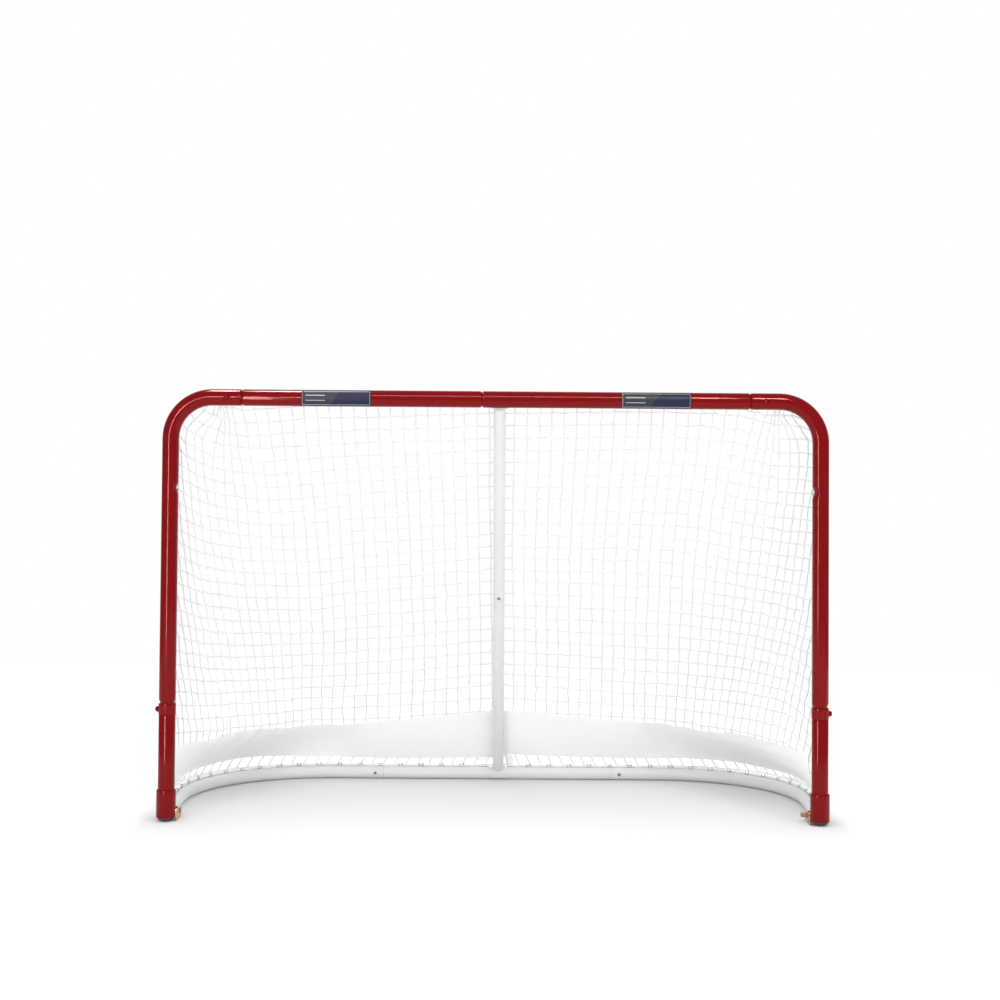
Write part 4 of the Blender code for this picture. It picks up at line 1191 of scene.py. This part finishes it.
def netKnots():
    # the knots as {(column, row): point}, and the ends of rows and columns on the border
    chance = random.Random(11)
    knots, rowEnds, columnEnds = {}, {}, {}
    rows = net["rows"]
    for side in (-1, 1):
        widest = 0
        for row in range(rows + 1):
            line, lengths = halfRow(side, row)
            count = read(netColumnsAt, rowHeight(row, side, 1))
            widest = max(widest, int(count))
            rowEnds[side, row] = line[-1]
            wander = net["wander"] * min(row, 1) * min(rows - row, 1)
            for column in range(int(count) + 1):
                distance = columnDistance(side, column, row, lengths[-1], count)
                if distance <= lengths[-1] - net["endGap"]:
                    point = pointOn(line, lengths, distance)
                    point += Vector([chance.gauss(0, wander) for _ in range(3)])
                    knots[side * (column + 1), row] = point
        for column in range(widest + 1):
            name = side * (column + 1)
            first = next((row for row in range(rows + 1) if (name, row) in knots), None)
            if first == 0:
                columnEnds[name] = borderPoint(side, topDistance(side, column) - bendX)
            elif first:
                ends = netRowEnds[side]
                between = (read(ends, first - 1) + read(ends, first)) / 2
                columnEnds[name] = borderPoint(side, between)
    return knots, rowEnds, columnEnds


netKnot, netRowEnd, netColumnEnd = netKnots()
print("net laid out:", len(netKnot), "knots")


def strand(first, second, shift, sag):
    # a short length of twine between two knots, which leaves each a little off its middle
    start, end = first + shift, second - shift
    middle = start.lerp(end, 0.5) + sag
    return [first, start.lerp(middle, 0.12), middle, end.lerp(middle, 0.12), second]


def netPanel(name, node, keeps):
    # the twine of one panel: rows, columns and knots whose column keeps() accepts
    chance = random.Random(5)
    paths, knotPaths = [], []
    cord, sway = net["cord"], net["sway"]
    rows = range(net["rows"] + 1)
    columns = sorted({column for column, _ in netKnot})
    for row in rows:
        held = [column for column in columns if (column, row) in netKnot]
        line = [netRowEnd[-1, row]] + [netKnot[column, row] for column in held]
        line.append(netRowEnd[1, row])
        for tag, first, second in zip([held[0] - 1] + held, line, line[1:]):
            fall = max(0.0, min(net["jog"], (first.z - second.z) * net["jogShare"]))
            up = alongZ * (fall + chance.uniform(0.0, 0.0006))
            sag = Vector((0, chance.uniform(-sway, sway), chance.uniform(-0.0014, 0.0004)))
            if keeps(tag):
                paths.append((strand(first, second, up, sag), cord))
    for column in columns:
        held = [netKnot[column, row] for row in rows if (column, row) in netKnot]
        points = [netColumnEnd[column]]
        for first, second in zip(points + held, held):
            shift = alongX * chance.uniform(-sway, sway)
            sag = Vector([chance.uniform(-sway, sway) for _ in range(3)])
            points = points + strand(first, second, shift, sag)[1:]
        if not keeps(column):
            continue
        paths.append((points, cord))
        for point in held:
            spans = (0.4, 0.9), (-0.2, 0.2), (-0.9, -0.5)
            lean = Vector([chance.uniform(*span) for span in spans]).normalized() * net["knot"]
            ends = [point + lean * share for share in (-1, -0.55, 0.55, 1)]
            knotPaths.append((ends, [cord * share for share in (0.9, 1.7, 1.7, 0.9)]))
    cordPiece(paths + knotPaths, 6, name, netTwine, node)


netPanel("back_netting", "net_back", lambda column: abs(column) <= net["split"])
netPanel("left_side_netting", "left_side_net", lambda column: column < -net["split"])
netPanel("right_side_netting", "right_side_net", lambda column: column > net["split"])
print("net knotted")

# Skirt: a strip of cloth inside the foot of the net, slack between its ties

skirt = {
    "columns": 320,
    "rows": 14,
    "clear": 0.004,
    "thickness": 0.0008,
    "endGap": 0.008,
    "height": 0.125,
    "firstRow": 18,  # the net's row above the skirt
    "surfaceSteps": 120,
    "ripple": (0.0012, 60),
    "tie": (0.005, -0.775, 0.012),  # height, place and half width of the top edge's raised tie
    "wave": ((19.0, 0.0, 0.5), (31.0, 1.3, 0.3)),
    "waveDepth": 0.0030,
    "slack": (-0.70, 0.14),
    "slant": 0.055,
    "crease": (34.0, 0.011),
    "pucker": (88.0, 5, 0.0016),
}
# share of the way from the middle to a post (left is negative): the height of each edge
skirtTop = (
    [
        -1, -0.95, -0.885, -0.84, -0.79, -0.72, -0.66, -0.54, -0.50, -0.39, -0.28, -0.19, -0.05,
        0.03, 0.08, 0.14, 0.20, 0.31, 0.41, 0.50, 0.55, 0.60, 0.67, 0.84, 1,
    ],
    [
        0.210, 0.207, 0.203, 0.195, 0.201, 0.206, 0.202, 0.185, 0.187, 0.181, 0.194, 0.208, 0.229,
        0.233, 0.233, 0.222, 0.215, 0.202, 0.195, 0.190, 0.187, 0.190, 0.203, 0.200, 0.199,
    ],
)
skirtFoot = (
    [
        -1, -0.95, -0.885, -0.79, -0.72, -0.62, -0.52, -0.43, -0.26, 0,
        0.03, 0.1, 0.2, 0.35, 0.55, 0.66, 0.77, 0.89, 1,
    ],
    [
        0.078, 0.081, 0.084, 0.080, 0.080, 0.084, 0.079, 0.070, 0.066, 0.0695,
        0.083, 0.078, 0.0745, 0.0696, 0.075, 0.071, 0.073, 0.068, 0.055,
    ],
)


def netSurface():
    # the net's smooth surface: rows of points from left post to right post
    grid, steps = [], skirt["surfaceSteps"]
    for row in range(skirt["firstRow"], net["rows"] + 1):
        line = []
        for side in (-1, 1):
            half, lengths = halfRow(side, row)
            along = (lengths[-1] * step / steps for step in range(steps + 1))
            points = [pointOn(half, lengths, distance) for distance in along]
            line = points[::-1] if side < 0 else line + points[1:]
        grid.append(line)
    return grid


surface = netSurface()


def surfaceAt(share, height):
    # the surface's point and heading at a share from left post (-1) to right post (1)
    last = len(surface[0]) - 1
    at = (share + 1) / 2 * last
    column = min(int(at), last - 1)
    line = [row[column].lerp(row[column + 1], at - column) for row in surface]
    index = 1
    while index < len(line) - 1 and height < line[index].z:
        index += 1
    upper, lower = line[index - 1], line[index]
    part = (upper.z - height) / (upper.z - lower.z)
    heading = surface[index][min(column + 3, last)] - surface[index][max(column - 2, 0)]
    return upper.lerp(lower, part), heading.normalized()


def hump(value, centre, width):
    return math.exp(-(((value - centre) / width) ** 2))


def skirtFold(share, distance, down):
    # soft folds, with sharper slanting creases where the left end is slack
    wave = sum(math.sin(distance * turns + phase) * size for turns, phase, size in skirt["wave"])
    across = math.sin(math.pi * min(down * 0.8 + 0.15, 1.0))
    slant = distance + (down - 0.5) * skirt["slant"]
    turns, depth = skirt["crease"]
    crease = abs(math.sin(slant * turns)) ** 3 * depth
    turns, lean, depth = skirt["pucker"]
    crease += math.sin(slant * turns + down * lean) * depth
    slack = hump(share, *skirt["slack"]) * (1.0 - 0.55 * down)
    return (wave + 0.8) * skirt["waveDepth"] * across + slack * crease


def clothSkirt():
    columns, rows = skirt["columns"], skirt["rows"]
    verts, uvs = [], []
    distance, previous = 0.0, None
    rippleHeight, rippleTurns = skirt["ripple"]
    tieHeight, *tie = skirt["tie"]
    for column in range(columns + 1):
        share = (1 - skirt["endGap"]) * (2 * column / columns - 1)
        top, foot = read(skirtTop, share), read(skirtFoot, share)
        top += rippleHeight * math.sin(distance * rippleTurns) + tieHeight * hump(share, *tie)
        anchor = surfaceAt(share, (top + foot) / 2)[0]
        if previous is not None:
            distance += (anchor - previous).length
        previous = anchor
        for row in range(rows + 1):
            down = row / rows
            point, heading = surfaceAt(share, top + (foot - top) * down)
            inward = Vector((heading.y, -heading.x, 0)).normalized()
            verts.append(point + inward * (skirt["clear"] + skirtFold(share, distance, down)))
            uvs.append((distance, (top - foot) * down))
    piece = gridPiece(verts, uvs, columns, rows, "cloth")
    applyModifier(piece, "SOLIDIFY", thickness=skirt["thickness"], offset=0)
    applyModifier(piece, "SUBSURF", levels=1, render_levels=1)
    dress(piece, "cloth_skirt", cloth, "skirt_back", "left_side_skirt", "right_side_skirt")
    print("skirt length", round(distance, 3))


clothSkirt()

# Ropes: the net's border behind the frame, and the rope that is laced along the base

rope = {
    "radius": 0.0027,
    "lean": 16,
    "runLean": 5,
    "step": 0.004,
    "lacePitch": 0.066,
    "lace": 0.0009,
    "loop": 0.0036,
    "loopTurns": 1.2,
    "bow": 0.0032,
    "hookEvery": 4,
    "hook": 0.0015,
    "hookFrom": 78,
    "hookTo": 12,
    "hookReach": (0.0008, 0.0078),
    "barGap": 0.004,
}


def borderRope(steps=60):
    points = []
    for side in (-1, 1):
        last = read(netRowEnds[side], net["rows"])
        half = [borderPoint(side, last * (1 - step / steps)) for step in range(steps + 1)]
        points += half if side < 0 else [borderPoint(side, -bendX)] + half[::-1]
    cordPiece([(points, net["border"])], 10, "net_border_rope", netTwine)


def tubeLine(side, reach, degrees):
    # a line along the base tube up to the centre bar, so far from the tube's axis
    lean = math.radians(degrees)
    end = barTop.x + side * (saddle["width"] / 2 + rope["barGap"])
    return footLine(side, reach * math.sin(lean), baseZ + reach * math.cos(lean), end, 64)


def baseRope(name, side):
    # the rope on the base tube, pinched where it is laced to the net's last row, and the lacing,
    # whose grey colour is painted shade
    reach, pitch = baseR + tubing["fit"] + rope["radius"], rope["lacePitch"]
    line, lengths = tubeLine(side, reach, rope["lean"])
    total, height = lengths[-1], line[0].z
    points, radii = [], []
    for step in range(int(total / rope["step"]) + 1):
        distance = min(step * rope["step"], total)
        phase = abs(math.sin(math.pi * distance / pitch))
        points.append(pointOn(line, lengths, distance) + alongZ * rope["bow"] * phase**0.7)
        radii.append(rope["radius"] * (0.72 + 0.38 * phase**0.5))
    cordPiece([(points, radii)], 10, name + "_base_rope", ropeTwine, name + "_lacing_rope")
    chance = random.Random(3)
    laces, hooks = [], []
    for turn in range(1, int(total / pitch)):
        distance = turn * pitch
        centre = pointOn(line, lengths, distance)
        way = (pointOn(line, lengths, distance + rope["step"]) - centre).normalized() * side
        outward = Vector((-way.y, way.x, 0))
        slant = chance.uniform(0.006, 0.010)
        loop = []
        for step in range(41):
            angle = 2 * math.pi * step / 40 * rope["loopTurns"]
            rise = math.sin(angle)
            lift = rise * (rope["loop"] + (netFootZ - height if rise > 0 else 0))
            point = centre + outward * math.cos(angle) * rope["loop"] + alongZ * lift
            loop.append(point + way * (slant * (step / 40 - 0.5) * 1.6))
        laces.append((loop, rope["lace"]))
        if turn % rope["hookEvery"] == 2:
            axis = centre - outward * reach * math.sin(math.radians(rope["lean"]))
            axis.z = baseZ
            hook = []
            for step in range(13):
                start, end = rope["hookFrom"], rope["hookTo"]
                angle = math.radians(start - (start - end) * step / 12)
                sunk, out = rope["hookReach"]
                radius = baseR - sunk + out * math.sin(math.pi / 2 * min(step / 5, 1))
                arm = outward * math.sin(angle) + alongZ * math.cos(angle)
                hook.append(axis + arm * radius)
            hooks.append((hook, rope["hook"]))
    # the lacing's long run lies against the rope, on the tube; its grey line is a painted shadow
    # under the rope
    laces.append((tubeLine(side, baseR + rope["lace"], rope["runLean"])[0], rope["lace"] * 0.75))
    cordPiece(laces, 6, name + "_lacing", laceTwineGreyAsShade)
    cordPiece(hooks, 8, name + "_rope_hooks", whitePaint)


tails = {
    "count": 5,
    "radius": 0.0021,
    "length": 0.040,
    "loop": (0.0125, 0.0130, 0.0024),  # half width, depth and radius
    "loopAt": (-0.054, 0.073),  # X from the bar, and height
    "tailAt": (0.0205, 0.083),
    "pitch": 0.0062,
    "forward": 0.004,
}


def ropeTails():
    # a loop and the gathered tails of the lacing rope, tied off beside the bar's foot
    y = baseY + tails["forward"]
    left, high = barTop.x + tails["loopAt"][0], tails["loopAt"][1]
    halfWidth, depth, radius = tails["loop"]
    loop = []
    for step in range(17):
        angle = math.pi * step / 16
        x, z = left - halfWidth * math.cos(angle), high - depth * math.sin(angle)
        loop.append(Vector((x, y, z)))
    ends = loop[0] + Vector((-0.004, 0.004, 0.012)), loop[-1] + Vector((0.006, 0.004, 0.010))
    paths = [([ends[0]] + loop + [ends[1]], radius)]
    chance = random.Random(8)
    for index in range(tails["count"]):
        x, z = barTop.x + tails["tailAt"][0] + index * tails["pitch"], tails["tailAt"][1]
        top = Vector((x + 0.002 - index * 0.001, y + 0.002, z - index * 0.002))
        path = []
        for step in range(9):
            share = step / 8
            bend = 0.0035 * math.sin(math.pi * share) * chance.uniform(0.6, 1.2)
            sway = -0.002 * math.sin(3 * share)
            path.append(top + Vector((bend + share * 0.003, sway, -tails["length"] * share)))
        paths.append((path, tails["radius"]))
    cordPiece(paths, 10, "rope_tails", ropeTwine)


borderRope()
for name, side in sides.items():
    baseRope(name, side)
ropeTails()
print("ropes built")

# Stickers: thin film with a printed pattern, curved to the crossbar

film = {"half": 67, "thickness": 0.0003, "gap": 0.0002, "columns": 20, "rows": 24}


def sticker(name):
    node = name + "_sticker"
    low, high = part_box(node)
    inner = frameR + film["gap"]
    verts, uvs = [], []
    columns, rows = film["columns"], film["rows"]
    for column in range(columns + 1):
        x = low.x + (high.x - low.x) * column / columns
        for row in range(rows + 1):
            angle = math.radians(film["half"]) * (2 * row / rows - 1)
            y, z = mouthY - math.cos(angle) * inner, crossbarZ + math.sin(angle) * inner
            verts.append((x, y, z))
            uvs.append((column / columns, row / rows))
    piece = gridPiece(verts, uvs, columns, rows, "film", turned=True)
    applyModifier(piece, "SOLIDIFY", thickness=film["thickness"], offset=1)
    dress(piece, node + "_film", vinyl, node)


for name in sides:
    sticker(name)

# What stays as the frame has it gets its finish

finishOf = {slot: material for material, slot in (zinc, spring, rubber, redPaint, whitePaint)}
slotOf = {part["node"]: part["material_slot"] for part in frame["record"]["subparts"]}
for node, thing in frame["nodes"].items():
    if not thing.hide_render:
        thing.data.materials.clear()
        thing.data.materials.append(finishOf[slotOf[node]])

# Floor, world and lamps

studio = {
    "floorSize": 7.0,
    "fill": 0.94,
    "front": 0.08,
    "behind": 1.0,
    "roomFrom": 0.35,
    "roomTo": 0.85,
    "glow": 0.10,
    # painted shade: the paper's darker colour under and before the goal, which stands in for the
    # goal's shadow
    "paintedShadeColour": "d9d9d9",
    "whiteColour": "f0f0f0",
    "shadeHalf": (0.95, 1.06, 0.0, 1.3),  # where the shade ends and the white begins, and how much
    "shadeFront": (0.45, -1.12, 0.0, 1.0),
    "shadeBack": (0.36, 0.52, 0.0, 1.3),
}
# place, what it faces, width and height, power, whether glossy paint shows it, and whether it
# lights the goal
softboxes = {
    "front_left_softbox": ((-1.72, -3.1, 1.10), (0, -0.3, 0.8), (0.45, 1.40), 18, False, True),
    "right_softbox": ((2.3, -2.7, 1.5), (-0.5, 0, 0.3), (1.0, 1.4), 19, False, True),
    "left_window_light": ((-1.72, -3.1, 0.90), (0, -0.3, 0.75), (0.40, 1.75), 85, True, False),
    "left_strip_light": ((-1.15, -3.1, 1.52), (-0.7, -0.3, 1.2), (0.50, 0.16), 24, True, False),
    "high_right_strip_light": ((1.2, -2.4, 3.0), (0.7, -0.3, 1.2), (0.70, 0.50), 72, True, False),
    "high_middle_strip_light": ((0, -2.4, 3.0), (0, -0.3, 1.2), (1.60, 0.50), 40, True, False),
    "high_left_strip_light": ((-1.1, 0.15, 3.7), (-0.7, -0.3, 1.2), (0.70, 0.50), 90, True, False),
    "overhead_softbox": ((0, 0, 4.0), (0, 0, 0), (4.0, 3.0), 44, False, True),
}


def whiteRays(tree):
    # 1 for the rays that show the background: seen, mirrored or seen through something
    rays = addNode(tree, "LightPath").outputs
    glossy = rays["Is Glossy Ray"]
    seen = maths(tree, "MAXIMUM", rays["Is Camera Ray"], glossy)
    return maths(tree, "MAXIMUM", seen, rays["Is Transmission Ray"]), glossy


def spaceParts(tree, space):
    place = addNode(tree, "TexCoord").outputs[space]
    return addNode(tree, "SeparateXYZ", {"Vector": place}).outputs


def setWorld():
    world = bpy.data.worlds.new("studio")
    bpy.context.scene.world = world
    world.use_nodes = True
    tree = world.node_tree
    seen, glossy = whiteRays(tree)
    # a white sweep behind the goal and a dim room in front of it, which only glossy surfaces show
    y = spaceParts(tree, "Generated")["Y"]
    ends = (studio[key] for key in ("roomFrom", "roomTo", "front", "behind"))
    shown = mixLevels(tree, glossy, 1.0, ramp(tree, y, *ends))
    background = tree.nodes["Background"]
    background.inputs["Color"].default_value = (1, 1, 1, 1)
    tree.links.new(mixLevels(tree, seen, studio["fill"], shown), background.inputs["Strength"])


def makeFloor():
    startFresh()
    bpy.ops.mesh.primitive_plane_add(size=studio["floorSize"], location=(0, 0, 0))
    floor = bpy.context.object
    floor.name = "floor"
    material, tree, shader = startMaterial("floor_paper_painted_shade", 0.9, 0.1)
    # the paper is white, except for a painted shade under and before the goal that stands in for
    # the goal's soft shadow; there it gets no glow
    parts = spaceParts(tree, "Object")
    white = ramp(tree, maths(tree, "ABSOLUTE", parts["X"]), *studio["shadeHalf"])
    for reach in ("shadeFront", "shadeBack"):
        white = maths(tree, "MAXIMUM", white, ramp(tree, parts["Y"], *studio[reach]))
    coloured = mixColours(tree, white, studio["paintedShadeColour"], studio["whiteColour"])
    tree.links.new(coloured, shader.inputs["Base Color"])
    glow = maths(tree, "MULTIPLY", white, studio["glow"])
    glow = maths(tree, "MULTIPLY", glow, whiteRays(tree)[0])
    shader.inputs["Emission Color"].default_value = (1, 1, 1, 1)
    tree.links.new(glow, shader.inputs["Emission Strength"])
    floor.data.materials.append(material)


def softbox(name, place, aim, size, power, mirrored, lights):
    lamp = bpy.data.lights.new(name, "AREA")
    lamp.shape = "RECTANGLE"
    lamp.size, lamp.size_y = size
    lamp.energy = power
    holder = bpy.data.objects.new(name, lamp)
    holder.visible_glossy = mirrored
    holder.visible_diffuse = lights
    turn = (Vector(aim) - Vector(place)).to_track_quat("-Z", "Y").to_matrix().to_4x4()
    holder.matrix_world = Matrix.Translation(place) @ turn
    bpy.context.scene.collection.objects.link(holder)


setWorld()
makeFloor()
for name, settings in softboxes.items():
    softbox(name, *settings)
print("studio lit")
